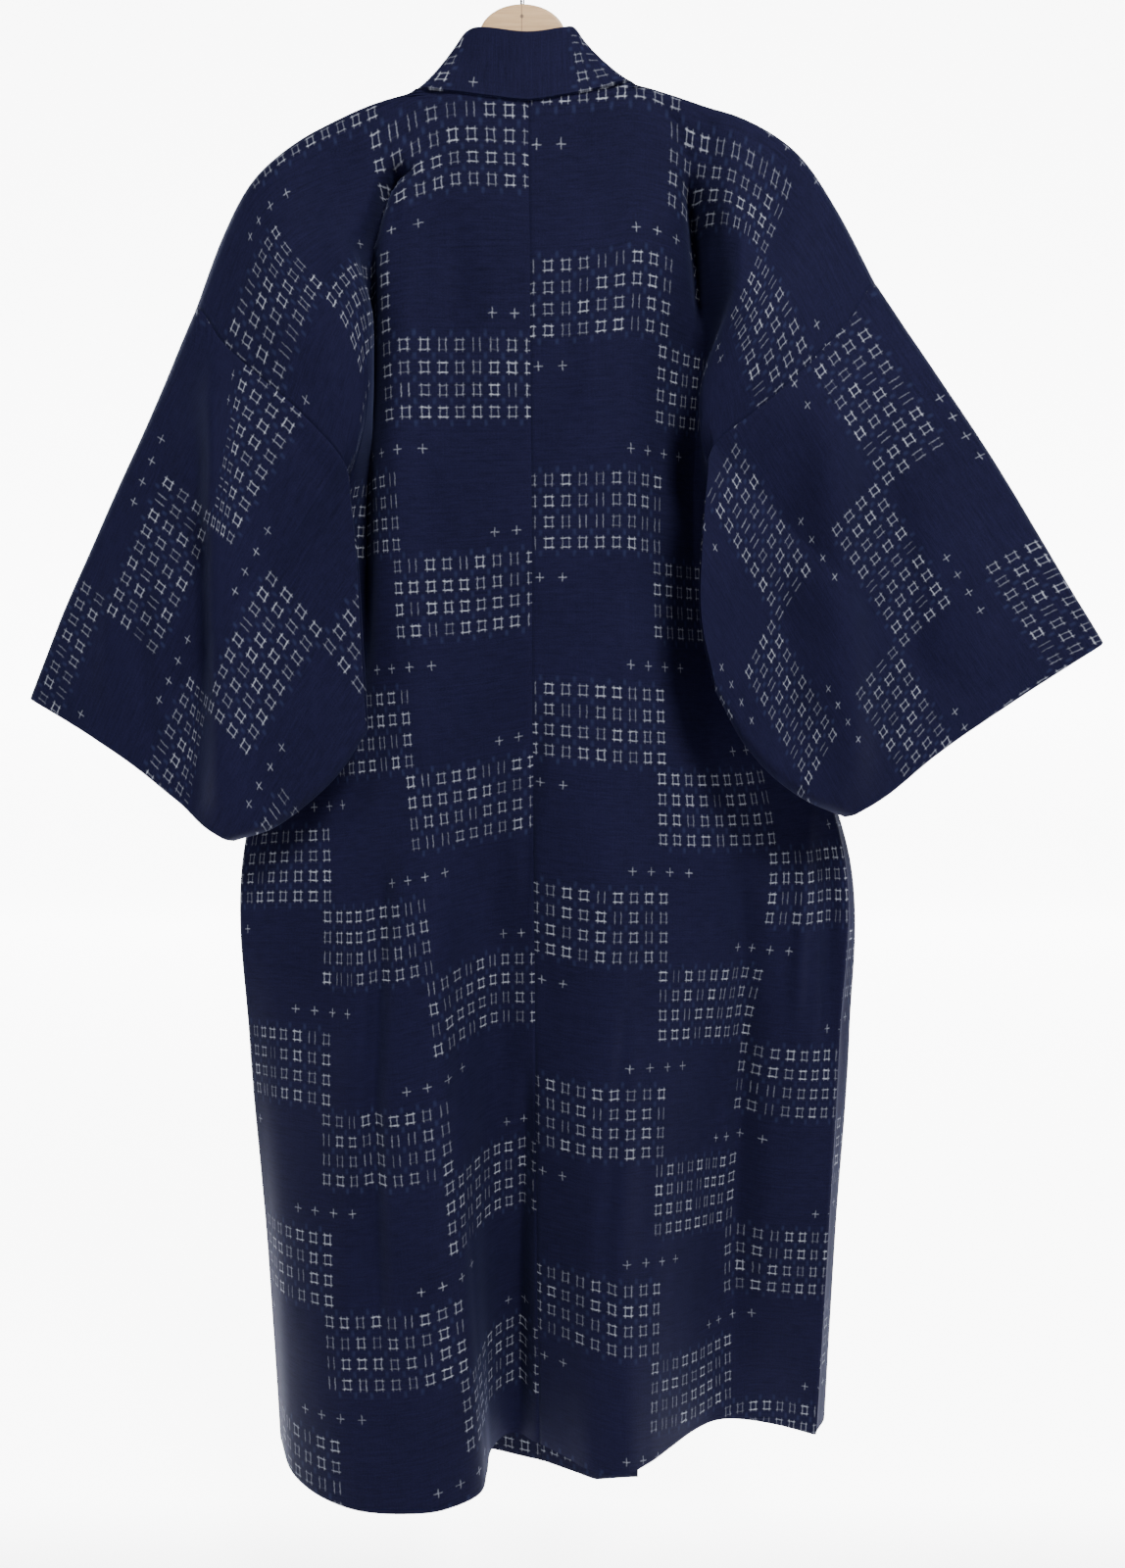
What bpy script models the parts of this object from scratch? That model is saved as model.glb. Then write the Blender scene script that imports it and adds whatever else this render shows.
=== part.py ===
"""A long-sleeved kimono of indigo cotton on a wooden hanger, seen from its back at -Y.

The origin is the inner top of the hanger's hook, and +Z is up. The wearer's left is -X.
Every cloth piece is a thin wall laid on a middle surface, and the middle surface is worked out
from sizes in millimetres: a row for each level of the body, a row for each edge of a sleeve.
"""
import math

import bpy
import numpy as np
from mathutils import Vector

MM = 0.001

# Driving dimensions of the garment, in millimetres
WALL = 1.6
SEAM_GAP = 0.3
NECK_LEVEL = -130.0
BODY_LENGTH = 1152.0
NECK_HALF = 90.0
NECK_DROP = 16.0
HALF_WIDTH = 340.0
ARMHOLE = 200.0
RIDGE_TURN = 12.0
RIDGE_EVEN = 45.0
CENTRE_FRONT_DROP = 300.0
COLLAR_END_DROP = 650.0
OKUMI_WIDTH = 108.0
OKUMI_AT_COLLAR = 58.0
OVERLAP_STEP = 8.0
LEFT_HEM_EXTRA = 82.0
HEM_EXTRA_AT_CENTRE = 0.7
HEM_EXTRA_RUN = 60.0
OVERLAP_FADE = (140.0, 310.0)
OVERLAP_START = 100.0
SIDE_LAP = 2.2
COLLAR_WIDTH = 50.0
COLLAR_WALL = 3.0

# Rows and columns of the cloth walls, in millimetres
BODY_COLUMNS = (0, 30, 60, 90, 117, 150, 165, 180, 207, 234, 290, 340)
BACK_DROPS = (
    6, 11, 16, 26, 45, 75, 110, 140, 170, 200, 240, 290,
    340, 415, 490, 560, 630, 710, 790, 880, 970, 1060, 1152,
)
FRONT_DROPS = (
    0, 6, 11, 16, 26, 45, 75, 110, 140, 170, 200, 250, 300,
    400, 520, 650, 790, 970, 1152,
)
OKUMI_DROPS = (316, 400, 480, 560, 648, 651, 760, 880, 1010, 1152)
OKUMI_COLUMNS = (0, 0.34, 0.67, 1)

# Hanger and hook
WOOD_DEPTH = 12.0
HOOK_WIRE = 3.6
HOOK_RADIUS = 19.0
CROWN_TOP = -63.0
CROWN_HALF = 34.8
CROWN_HEIGHT = 24.6

# Distance from the centre back seam, in millimetres, of the threads that the rows below place
THREADS = (0, 30, 60, 90, 117, 150, 180, 234, 290, 340)

# Levels down the cloth from the shoulder ridge
LEVELS = (0, 70, 140, 200, 340, 490, 630, 790, 970, 1152)

# How far the ridge of the shoulder lies below the neck level at each thread
LEFT_RIDGE = (0, 0.5, 1, -1, -8, -20, -33, -65, -110, -170)
RIGHT_RIDGE = (0, 1, 3, 5, -1, -11, -20, -46, -92, -150)

# Share of that droop that is left at each level
DROOP_KEPT = (1, 0.85, 0.7, 0.56, 0.15, 0, 0, 0, 0, 0)

# Back, wearer's left: one row for each level, x at each thread
LEFT_BACK_X = (
    (5, -26, -58, -91, -118, -148, -174, -217, -245, -270),
    (5, -24, -53, -81, -108, -134, -156, -187, -205, -227),
    (6, -23, -51, -79, -107, -130, -124, -138, -157, -176),
    (6, -23, -51, -79, -106, -128, -122, -126, -134, -144),
    (7, -22, -50, -77, -102, -122, -140, -160, -172, -168),
    (7, -20, -46, -72, -95, -120, -140, -172, -196, -208),
    (8, -18, -42, -64, -85, -110, -133, -165, -212, -244),
    (9, -16, -36, -52, -66, -96, -124, -163, -212, -241),
    (10, -15, -33, -44, -53, -82, -111, -160, -206, -230),
    (12, -16, -31, -33, -37, -66, -96, -149, -198, -222),
)

# Back, wearer's left: y at each thread, negative towards the viewer of the back
LEFT_BACK_Y = (
    (-14, -14, -14, -13, -12, -12, -12, -12, -12, -12),
    (-14, -14, -14, -14, -14, -14, -20, -34, -38, -34),
    (-15, -14, -12, -12, -14, -8, -42, -52, -54, -48),
    (-15, -14, -12, -12, -15, -2, -32, -40, -41, -38),
    (-15, -14, -12, -12, -14, -10, 0, 4, -2, -10),
    (-15, -10, -10, -14, -18, -14, -6, 2, 4, 2),
    (-15, -6, -8, -18, -26, -26, -20, -12, -6, 0),
    (-15, -4, -12, -30, -48, -56, -54, -40, -22, -2),
    (-16, -3, -20, -46, -68, -78, -80, -68, -40, -4),
    (-16, -3, -26, -56, -82, -103, -107, -98, -58, -6),
)

# Back, wearer's right
RIGHT_BACK_X = (
    (5, 34, 63, 92, 117, 148, 177, 222, 257, 290),
    (5, 34, 62, 90, 115, 141, 164, 198, 224, 250),
    (6, 35, 63, 90, 112, 138, 158, 172, 186, 202),
    (6, 35, 62, 88, 109, 134, 152, 146, 148, 153),
    (7, 35, 62, 87, 106, 130, 148, 168, 182, 176),
    (7, 35, 63, 88, 109, 134, 155, 186, 214, 230),
    (8, 36, 64, 90, 112, 140, 168, 211, 250, 276),
    (9, 35, 61, 88, 112, 137, 159, 192, 240, 274),
    (10, 35, 60, 86, 109, 132, 152, 180, 230, 268),
    (12, 36, 58, 86, 106, 129, 150, 182, 226, 261),
)
RIGHT_BACK_Y = (
    (-14, -14, -14, -13, -12, -12, -12, -12, -12, -12),
    (-14, -14, -15, -16, -14, -6, -24, -22, -38, -34),
    (-15, -18, -20, -22, -16, -2, -22, -46, -56, -48),
    (-15, -18, -20, -20, -12, 0, -8, -34, -41, -38),
    (-15, -18, -20, -20, -10, 2, 6, 4, -2, -10),
    (-15, -22, -26, -26, -16, -4, 4, 2, 2, 2),
    (-15, -26, -32, -30, -20, -12, -4, -2, -4, 0),
    (-15, -30, -40, -40, -26, -10, 4, 8, -4, -2),
    (-16, -32, -46, -48, -34, -12, 6, 16, 2, -4),
    (-16, -36, -55, -60, -46, -22, 0, 18, 10, -6),
)

# Front of each half: x at the outer threads, from thread 117 on, and y at the centre and the side
FRONT_THREADS = (0, 117, 234, 290, 340)
LEFT_FRONT_X = (
    (5, -118, -217, -245, -270),
    (5, -108, -187, -205, -227),
    (6, -98, -150, -164, -176),
    (6, -88, -124, -134, -144),
    (7, -100, -146, -162, -168),
    (7, -104, -182, -206, -208),
    (8, -106, -200, -240, -244),
    (9, -106, -196, -232, -241),
    (10, -104, -190, -222, -230),
    (12, -102, -186, -214, -222),
)
RIGHT_FRONT_X = (
    (5, 117, 222, 257, 290),
    (5, 115, 198, 224, 250),
    (6, 106, 170, 188, 202),
    (6, 96, 132, 144, 153),
    (7, 108, 158, 176, 176),
    (7, 114, 200, 232, 230),
    (8, 116, 230, 282, 276),
    (9, 116, 226, 286, 274),
    (10, 114, 218, 278, 268),
    (12, 112, 210, 272, 261),
)
FRONT_Y = (
    (14, 14, 13, 12, 12),
    (16, 20, 16, 12, 8),
    (20, 24, 10, -4, -10),
    (22, 26, 4, -31, -35.8),
    (26, 32, 22, 0, -7.8),
    (30, 38, 34, 24, 4.2),
    (34, 42, 36, 22, 2.2),
    (34, 42, 36, 23, 0.2),
    (35, 43, 37, 25, -1.8),
    (36, 44, 38, 26, -3.8),
)

# Sleeve edges, rows of x, y, z from the armhole outward or from the fold down
SLEEVES = {
    "left": {
        "fold": (
            (-270, 0, -300), (-309, -3, -385), (-350, -6, -470), (-385, -8, -545), (-415, -10, -616),
        ),
        "cuff": (
            (-415, -10, -616), (-353, -26, -650), (-308, -36, -680), (-270, -44, -712), (-238, -48, -733),
        ),
        "bottom": (
            (-130, -52, -642), (-155, -54, -680), (-178, -54, -702), (-206, -52, -722), (-238, -48, -733),
        ),
        "inner": (
            (-144, -38, -426), (-142, -48, -442), (-136, -52, -500), (-133, -52, -570), (-130, -52, -642),
        ),
    },
    "right": {
        "fold": (
            (290, 0, -280), (340, -3, -350), (392, -6, -425), (440, -8, -500), (485, -10, -570),
        ),
        "cuff": (
            (485, -10, -570), (405, -26, -618), (336, -36, -664), (297, -44, -694), (264, -48, -713),
        ),
        "bottom": (
            (160, -52, -610), (184, -54, -655), (206, -54, -680), (234, -52, -700), (264, -48, -713),
        ),
        "inner": (
            (153, -38, -414), (152, -48, -430), (148, -52, -480), (147, -52, -550), (160, -52, -610),
        ),
    },
}
ATTACHED_SHARE = 0.46
FOLD_TURN = 5.0
CUFF_OPENING = 22.0
INNER_OPENING = 12.0
INNER_CLEAR = 3.0
CUFF_LENGTH = 250.0
SLEEVE_HEIGHT = 300.0
INNER_FREE = 220.0
FOLD_FADE = 0.2
HELD_AT_EDGE = 60.0
SLEEVE_LENGTH_ROWS = 10
SLEEVE_FREE_ROWS = (0.475, 0.56, 0.68, 0.8, 0.9, 0.965, 0.989, 1)

# Large folds of the sleeves: a line from top to bottom, its half width and its rise to the viewer
SLEEVE_FOLDS = {
    "left": (
        {"name": "long ridge", "top": (-240, -290), "bottom": (-245, -760), "half": 26, "rise": 16},
        {"name": "outer valley", "top": (-262, -500), "bottom": (-268, -700), "half": 20, "rise": -14},
        {"name": "inner crease", "top": (-200, -380), "bottom": (-150, -440), "half": 16, "rise": -8},
    ),
    "right": (
        {"name": "long ridge", "top": (238, -330), "bottom": (262, -720), "half": 30, "rise": 14},
        {"name": "outer valley", "top": (262, -320), "bottom": (330, -600), "half": 26, "rise": -8},
    ),
}

# Collar: the way that the band rises from its seam, by the place of the seam
BAND_ON_OKUMI = (1.0, 0.0, 0.12)
BAND_ON_FRONT = (0.95, 0.05, 0.30)
BAND_AT_SHOULDER = (0.84, 0.16, 0.52)
BAND_AT_BACK = (0.0, -0.02, 1.0)
LEFT_LEAN = 0.75

# Places of the collar's seam: distance or drop, and share of the way to the next direction
SEAM_AT_BACK = ((0, 0), (30, 0.05), (58, 0.4), (78, 0.75))
SEAM_ON_FRONT = ((6, 0), (30, 0.3), (75, 0.7), (140, 1), (220, 1))
SEAM_ON_OKUMI = ((316, 0.2), (400, 0.6), (480, 1), (560, 1), (648, 1))

# Outline of the hanger, rows of x and z from its left end round to its right end and back
LEFT_ARM = (
    (-202, -188), (-173, -167), (-146, -154), (-114, -144.5), (-90, -139.5), (-56, -130), (-37, -112),
)
RIGHT_ARM = (
    (37, -110), (56, -126), (92, -132), (117, -140), (148, -149), (177, -159), (205, -172),
)
RIGHT_END = ((211, -176), (211, -187), (203, -193))
UNDERSIDE = ((160, -176), (100, -163), (0, -158), (-100, -166), (-160, -182))
LEFT_END = ((-200, -206), (-208, -202), (-208, -193))

# Foot of the hook, rows of x and distance below the centre of its bend
HOOK_NECK = ((7.0, 20.5), (2.6, 24.5), (0.6, 29.0), (0.0, 33.5))
HOOK_START = 190.0
HOOK_END = -50.0
WIRE_CORNERS = 8


# Plain helpers
def steps(knots, values, at):
    """Smooth curve through (knot, value) pairs, read at the places in at."""
    knots = np.asarray(knots, float)
    values = np.asarray(values, float)
    at = np.clip(np.asarray(at, float), knots[0], knots[-1])
    width = np.diff(knots)
    rise = np.diff(values, axis=0) / width.reshape((-1,) + (1,) * (values.ndim - 1))
    slope = np.zeros_like(values)
    before = width[:-1].reshape((-1,) + (1,) * (values.ndim - 1))
    after = width[1:].reshape(before.shape)
    slope[1:-1] = (rise[:-1] * after + rise[1:] * before) / (before + after)
    slope[0] = rise[0]
    slope[-1] = rise[-1]
    cell = np.clip(np.searchsorted(knots, at, side="right") - 1, 0, len(knots) - 2)
    shape = at.shape + (1,) * (values.ndim - 1)
    run = width[cell].reshape(shape)
    t = ((at - knots[cell]) / width[cell]).reshape(shape)
    low = values[cell]
    high = values[cell + 1]
    start = slope[cell] * run
    end = slope[cell + 1] * run
    return (
        low * (1 + 2 * t) * (1 - t) ** 2
        + high * t * t * (3 - 2 * t)
        + start * t * (1 - t) ** 2
        - end * t * t * (1 - t)
    )


def table(levels, threads, rows, drop, across):
    """Value of a table of rows at a drop down the cloth and a distance across it."""
    down = steps(levels, rows, drop)
    return np.array([steps(threads, line, place) for line, place in zip(down, across)])


def turn(distance, radius):
    """0 at a fold and 1 past it, as the cloth rounds the fold."""
    return np.sin(np.clip(np.asarray(distance, float) / (radius * math.pi / 2), 0, 1) * math.pi / 2)


def ridge_fall(drop):
    """Height lost at a drop along the cloth, which first rounds the ridge and then hangs."""
    quarter = RIDGE_TURN * math.pi / 2
    past = RIDGE_TURN + (drop - quarter) * (RIDGE_EVEN - RIDGE_TURN) / (RIDGE_EVEN - quarter)
    round_part = RIDGE_TURN * (1 - np.cos(np.clip(drop / RIDGE_TURN, 0, math.pi / 2)))
    return np.where(drop < quarter, round_part, np.where(drop < RIDGE_EVEN, past, drop))


def unit(vectors):
    length = np.linalg.norm(vectors, axis=-1, keepdims=True)
    return vectors / np.maximum(length, 1e-9)


# Body strips
def body_points(side, face, drop, across):
    """Middle surface of one half of the body, with drop and across as equal arrays."""
    left = side == "left"
    drop = np.asarray(drop, float)
    across = np.asarray(across, float)
    ridge = LEFT_RIDGE if left else RIGHT_RIDGE
    sag = steps(THREADS, ridge, across) * steps(LEVELS, DROOP_KEPT, drop)
    if face == "back":
        rows_x = LEFT_BACK_X if left else RIGHT_BACK_X
        rows_y = LEFT_BACK_Y if left else RIGHT_BACK_Y
        x = table(LEVELS, THREADS, rows_x, drop, across)
        y = table(LEVELS, THREADS, rows_y, drop, across)
    else:
        rows_x = LEFT_FRONT_X if left else RIGHT_FRONT_X
        x = table(LEVELS, FRONT_THREADS, rows_x, drop, across)
        rows_y = steps(LEVELS, FRONT_Y, drop)
        side_y = steps(LEVELS, np.array(LEFT_BACK_Y)[:, -1], drop) + SIDE_LAP
        rows_y[:, -1] = np.where(drop >= ARMHOLE, side_y, rows_y[:, -1])
        y = np.array([steps(FRONT_THREADS, line, place) for line, place in zip(rows_y, across)])
        fade = (OVERLAP_FADE[1] - across) / (OVERLAP_FADE[1] - OVERLAP_FADE[0])
        over = OVERLAP_STEP * np.clip(fade, 0, 1) * np.clip(drop / OVERLAP_START, 0, 1)
        y = y + (over if left else 0.0)
    x = x + (-SEAM_GAP / 2 if left else SEAM_GAP / 2)
    y = y * turn(drop + 2 * np.clip(NECK_HALF - across, 0, NECK_HALF), RIDGE_TURN)
    z = NECK_LEVEL - ridge_fall(drop) + sag
    return np.stack([x, y, z], axis=-1)


def back_neck_edge(drop):
    """Distance from the centre at which the back panel starts, near the neck."""
    share = np.clip(drop / NECK_DROP, 0, 1)
    return NECK_HALF * (1 - share ** 2)


def front_edge(drop):
    """Distance from the centre at which the front panel starts, along the collar."""
    share = np.clip(drop / CENTRE_FRONT_DROP, 0, 1)
    return NECK_HALF * (1 - share)


def left_hem_extra(drop, share):
    """How far the wearer's left front hangs lower, for a share of its largest fall."""
    down = (drop - COLLAR_END_DROP) / (BODY_LENGTH - COLLAR_END_DROP)
    return LEFT_HEM_EXTRA * np.asarray(share) * np.clip(down, 0, 1)


def body_grid(side):
    """Rows from the back hem over the shoulder to the front hem, columns from the centre out."""
    columns = np.array(BODY_COLUMNS, float) / HALF_WIDTH
    rows = []
    for drop in reversed(BACK_DROPS):
        start = back_neck_edge(drop)
        across = start + columns * (HALF_WIDTH - start)
        rows.append(body_points(side, "back", np.full(across.shape, drop), across))
    for drop in FRONT_DROPS:
        start = front_edge(drop)
        across = start + columns * (HALF_WIDTH - start)
        row = body_points(side, "front", np.full(across.shape, drop), across)
        if side == "left":
            row[:, 2] -= left_hem_extra(drop, HEM_EXTRA_AT_CENTRE * (1 - across / HALF_WIDTH))
        rows.append(row)
    return np.array(rows)


# Overlap panels
def okumi_width(drop):
    """Width of an overlap panel, cut along the collar down to the collar's end."""
    if drop > COLLAR_END_DROP:
        return OKUMI_WIDTH
    share = (drop - CENTRE_FRONT_DROP) / (COLLAR_END_DROP - CENTRE_FRONT_DROP)
    return OKUMI_AT_COLLAR * share


def okumi_row(side, drop, outs):
    """Points of an overlap panel, made from the other front's points and moved off them."""
    left = side == "left"
    outs = np.asarray(outs, float)
    row = body_points("right" if left else "left", "front", np.full(outs.shape, drop), outs)
    row[:, 1] += OVERLAP_STEP if left else -OVERLAP_STEP
    if left:
        reach = (1 - HEM_EXTRA_AT_CENTRE) * np.clip(outs / HEM_EXTRA_RUN, 0, 1)
        row[:, 2] -= left_hem_extra(drop, HEM_EXTRA_AT_CENTRE + reach)
    return row


def okumi_grid(side):
    rows = []
    for drop in OKUMI_DROPS:
        outs = np.array(OKUMI_COLUMNS) * okumi_width(drop)
        rows.append(okumi_row(side, drop, outs))
    return np.array(rows)


# Sleeves
def edge_curve(points, share):
    points = np.asarray(points, float)
    knots = np.concatenate([[0], np.cumsum(np.linalg.norm(np.diff(points, axis=0), axis=1))])
    return steps(knots / knots[-1], points, share)


def armhole_curve(side, face, share):
    """Inner end of a sleeve sheet: along the body's armhole edge, then the free inner edge."""
    points = []
    inner = SLEEVES[side]["inner"]
    attached = ATTACHED_SHARE
    face_end = body_points(side, face, [ARMHOLE], [HALF_WIDTH])[0]
    outward = -1 if side == "left" else 1
    for value in share:
        if value <= attached + 1e-6:
            drop = ARMHOLE * value / attached
            start = back_neck_edge(drop) if face == "back" else front_edge(drop)
            near = start + BODY_COLUMNS[-2] / HALF_WIDTH * (HALF_WIDTH - start)
            pair = body_points(side, face, [drop, drop], [HALF_WIDTH, near])
            points.append(pair[0] + unit(pair[0] - pair[1]) * SEAM_GAP)
        else:
            run = (value - attached) / (1 - attached)
            point = edge_curve(inner, np.array([run]))[0]
            shift = (face_end - np.array(inner[0], float)) * (1 - run) ** 2
            spread = INNER_OPENING / 2 * (1 if face == "front" else -1)
            close = turn((1 - run) * INNER_FREE, FOLD_TURN)
            aside = SEAM_GAP + INNER_CLEAR * min(1, run * 40)
            point = point + shift + np.array([outward * aside, 0, 0])
            point[1] += spread * close * min(1, run * 2) ** 2
            points.append(point)
    return np.array(points)


def cuff_curve(side, face, share):
    line = edge_curve(SLEEVES[side]["cuff"], share)
    spread = CUFF_OPENING / 2 * (1 if face == "front" else -1)
    height = CUFF_LENGTH
    line[:, 1] += spread * turn(share * height, FOLD_TURN) * turn((1 - share) * height, FOLD_TURN)
    return line


def fold_rise(side, x, z):
    """Rise of the large folds towards the viewer, at places in the plane of the garment."""
    rise = np.zeros(np.shape(x))
    for fold in SLEEVE_FOLDS[side]:
        (x0, z0), (x1, z1) = fold["top"], fold["bottom"]
        share = (z - z0) / (z1 - z0)
        centre = x0 + (x1 - x0) * np.clip(share, 0, 1)
        ends = np.clip(1 + share / FOLD_FADE, 0, 1) * np.clip(1 + (1 - share) / FOLD_FADE, 0, 1)
        rise = rise + fold["rise"] * ends * np.exp(-(((x - centre) / fold["half"]) ** 2))
    return rise


def sleeve_sheet(side, face, length_shares, height_shares):
    """Sheet spanned by its four edges: sum of both rulings less the plane of the corners."""
    fold = edge_curve(SLEEVES[side]["fold"], length_shares)
    bottom = edge_curve(SLEEVES[side]["bottom"], length_shares)
    inner = armhole_curve(side, face, height_shares)
    cuff = cuff_curve(side, face, height_shares)
    fold = fold + (inner[0] - fold[0]) * (1 - length_shares[:, None])
    bottom = bottom + (inner[-1] - bottom[0]) * (1 - length_shares[:, None])
    a = length_shares[:, None, None]
    b = height_shares[None, :, None]
    sheet = (1 - b) * fold[:, None] + b * bottom[:, None] + (1 - a) * inner[None] + a * cuff[None]
    sheet = sheet - (1 - a) * (1 - b) * inner[0] - (1 - a) * b * inner[-1]
    sheet = sheet - a * (1 - b) * cuff[0] - a * b * cuff[-1]
    rise = fold_rise(side, sheet[..., 0], sheet[..., 2])
    hold = np.sin(np.clip(length_shares * 4, 0, 1) * math.pi / 2)[:, None]
    hold = hold * turn(height_shares * SLEEVE_HEIGHT, HELD_AT_EDGE)[None, :]
    hold = hold * turn((1 - height_shares) * SLEEVE_HEIGHT, HELD_AT_EDGE)[None, :]
    sheet[..., 1] -= rise * hold
    return sheet


def sleeve_grid(side):
    """Tube of two sheets, with its rows from the armhole to the cuff and its columns round it."""
    lengths = np.linspace(0, 1, SLEEVE_LENGTH_ROWS)
    attached = np.array([0, *BACK_DROPS[: BACK_DROPS.index(ARMHOLE) + 1]], float)
    heights = np.concatenate([attached * ATTACHED_SHARE / ARMHOLE, SLEEVE_FREE_ROWS])
    back = sleeve_sheet(side, "back", lengths, heights)
    front = sleeve_sheet(side, "front", lengths, heights)
    return np.concatenate([back, front[:, -2:0:-1]], axis=1)


# Collar
def collar_half(side):
    """Seam points of half the collar and the way up the band, from the centre back to the end."""
    sign = 1 if side == "left" else -1
    seam = []
    way = []
    for across, share in SEAM_AT_BACK:
        drop = NECK_DROP * math.sqrt(1 - across / NECK_HALF)
        seam.append(body_points(side, "back", [drop], [across])[0])
        way.append((1 - share) * np.array(BAND_AT_BACK) + share * np.array(BAND_AT_SHOULDER))
    for drop, share in SEAM_ON_FRONT:
        seam.append(body_points(side, "front", [drop], [front_edge(drop)])[0])
        way.append((1 - share) * np.array(BAND_AT_SHOULDER) + share * np.array(BAND_ON_FRONT))
    for drop, share in SEAM_ON_OKUMI:
        seam.append(okumi_row(side, drop, [okumi_width(drop)])[0])
        way.append((1 - share) * np.array(BAND_ON_FRONT) + share * np.array(BAND_ON_OKUMI))
    way = np.array(way)
    way[:, 0] *= sign
    back = len(SEAM_AT_BACK)
    if side == "left":
        way[: back + 2, 0] *= LEFT_LEAN
    return np.array(seam), way


def collar_grid():
    left_seam, left_way = collar_half("left")
    right_seam, right_way = collar_half("right")
    centre = (left_seam[0] + right_seam[0]) / 2
    seam = np.concatenate([left_seam[:0:-1], centre[None], right_seam[1:]])
    way = np.concatenate([left_way[:0:-1], left_way[:1], right_way[1:]])
    knots = np.concatenate([[0], np.cumsum(np.linalg.norm(np.diff(seam, axis=0), axis=1))])
    stops = []
    for low, high in zip(knots[:-1], knots[1:]):
        stops.extend([low, (low + high) / 2])
    stops.append(knots[-1])
    line = steps(knots, seam, stops)
    rise = unit(steps(knots, way, stops))
    start = COLLAR_WALL / 2 + 4 * SEAM_GAP
    heights = np.array([start, COLLAR_WIDTH / 2, COLLAR_WIDTH])
    return line[:, None] + rise[:, None] * heights[None, :, None]


# Making solids
def material(name, color, rough):
    made = bpy.data.materials.new(name)
    made.use_nodes = True
    shader = made.node_tree.nodes["Principled BSDF"]
    shader.inputs["Base Color"].default_value = (*color, 1)
    shader.inputs["Roughness"].default_value = rough
    return made


def add_object(name, points, faces, slot):
    mesh = bpy.data.meshes.new(name)
    mesh.from_pydata([tuple(p) for p in np.asarray(points) * MM], [], faces)
    mesh.validate()
    mesh.materials.append(slot)
    made = bpy.data.objects.new(name, mesh)
    bpy.context.scene.collection.objects.link(made)
    mesh.shade_smooth()
    mesh.set_sharp_from_angle(angle=math.radians(40))
    return made


def grid_normals(grid, wrap=False):
    if wrap:
        ring = np.concatenate([grid[:, -1:], grid, grid[:, :1]], axis=1)
        across = (ring[:, 2:] - ring[:, :-2])
    else:
        across = np.gradient(grid, axis=1)
    along = np.gradient(grid, axis=0)
    return unit(np.cross(along, across))


def seam_normals(grid):
    """Normals whose first column lies in the plane of the seam, square to x."""
    normal = grid_normals(grid)
    normal[:, 0, 0] = 0
    return unit(normal)


def sleeve_normals(grid, body):
    """Normals of a sleeve, whose armhole end takes those of the body's edge that it meets."""
    normal = grid_normals(grid, wrap=True)
    edge = seam_normals(body)[:, -1]
    backs = len(BACK_DROPS)
    count = BACK_DROPS.index(ARMHOLE) + 1
    for k in range(count):
        normal[0, k + 1] = edge[backs - 1 - k]
        normal[0, -1 - k] = edge[backs + 1 + k]
    normal[0, 0] = edge[backs]
    return normal


def wall(name, grid, thickness, slot, normal, wrap=False):
    """Closed wall of one thickness on a grid of middle points, open or wrapped into a tube."""
    rows, columns = grid.shape[:2]
    sides = [grid + normal * thickness / 2, grid - normal * thickness / 2]
    points = np.concatenate([s.reshape(-1, 3) for s in sides])
    count = rows * columns
    faces = []
    last = columns if wrap else columns - 1

    def at(layer, i, j):
        return layer * count + i * columns + j % columns

    for i in range(rows - 1):
        for j in range(last):
            faces.append((at(0, i, j), at(0, i + 1, j), at(0, i + 1, j + 1), at(0, i, j + 1)))
            faces.append((at(1, i, j), at(1, i, j + 1), at(1, i + 1, j + 1), at(1, i + 1, j)))
    for j in range(last):
        faces.append((at(0, 0, j), at(0, 0, j + 1), at(1, 0, j + 1), at(1, 0, j)))
        end = rows - 1
        faces.append((at(0, end, j), at(1, end, j), at(1, end, j + 1), at(0, end, j + 1)))
    if not wrap:
        for i in range(rows - 1):
            faces.append((at(0, i, 0), at(1, i, 0), at(1, i + 1, 0), at(0, i + 1, 0)))
            end = columns - 1
            faces.append((at(0, i, end), at(0, i + 1, end), at(1, i + 1, end), at(1, i, end)))
    return add_object(name, points, faces, slot)


def hanger(slot):
    """Board cut to the outline of the hanger, with a domed crown and two sloping arms."""
    crown = []
    for angle in np.radians(np.linspace(-90, 90, 13)):
        crown.append((CROWN_HALF * math.sin(angle), CROWN_TOP - CROWN_HEIGHT * (1 - math.cos(angle))))
    outline = [*LEFT_ARM, *crown, *RIGHT_ARM, *RIGHT_END, *UNDERSIDE, *LEFT_END]
    half = WOOD_DEPTH / 2
    count = len(outline)
    points = [(x, -half, z) for x, z in outline] + [(x, half, z) for x, z in outline]
    faces = [tuple(range(count)), tuple(range(2 * count - 1, count - 1, -1))]
    for i in range(count):
        j = (i + 1) % count
        faces.append((i, i + count, j + count, j))
    return add_object("hanger", points, faces, slot)


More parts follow.
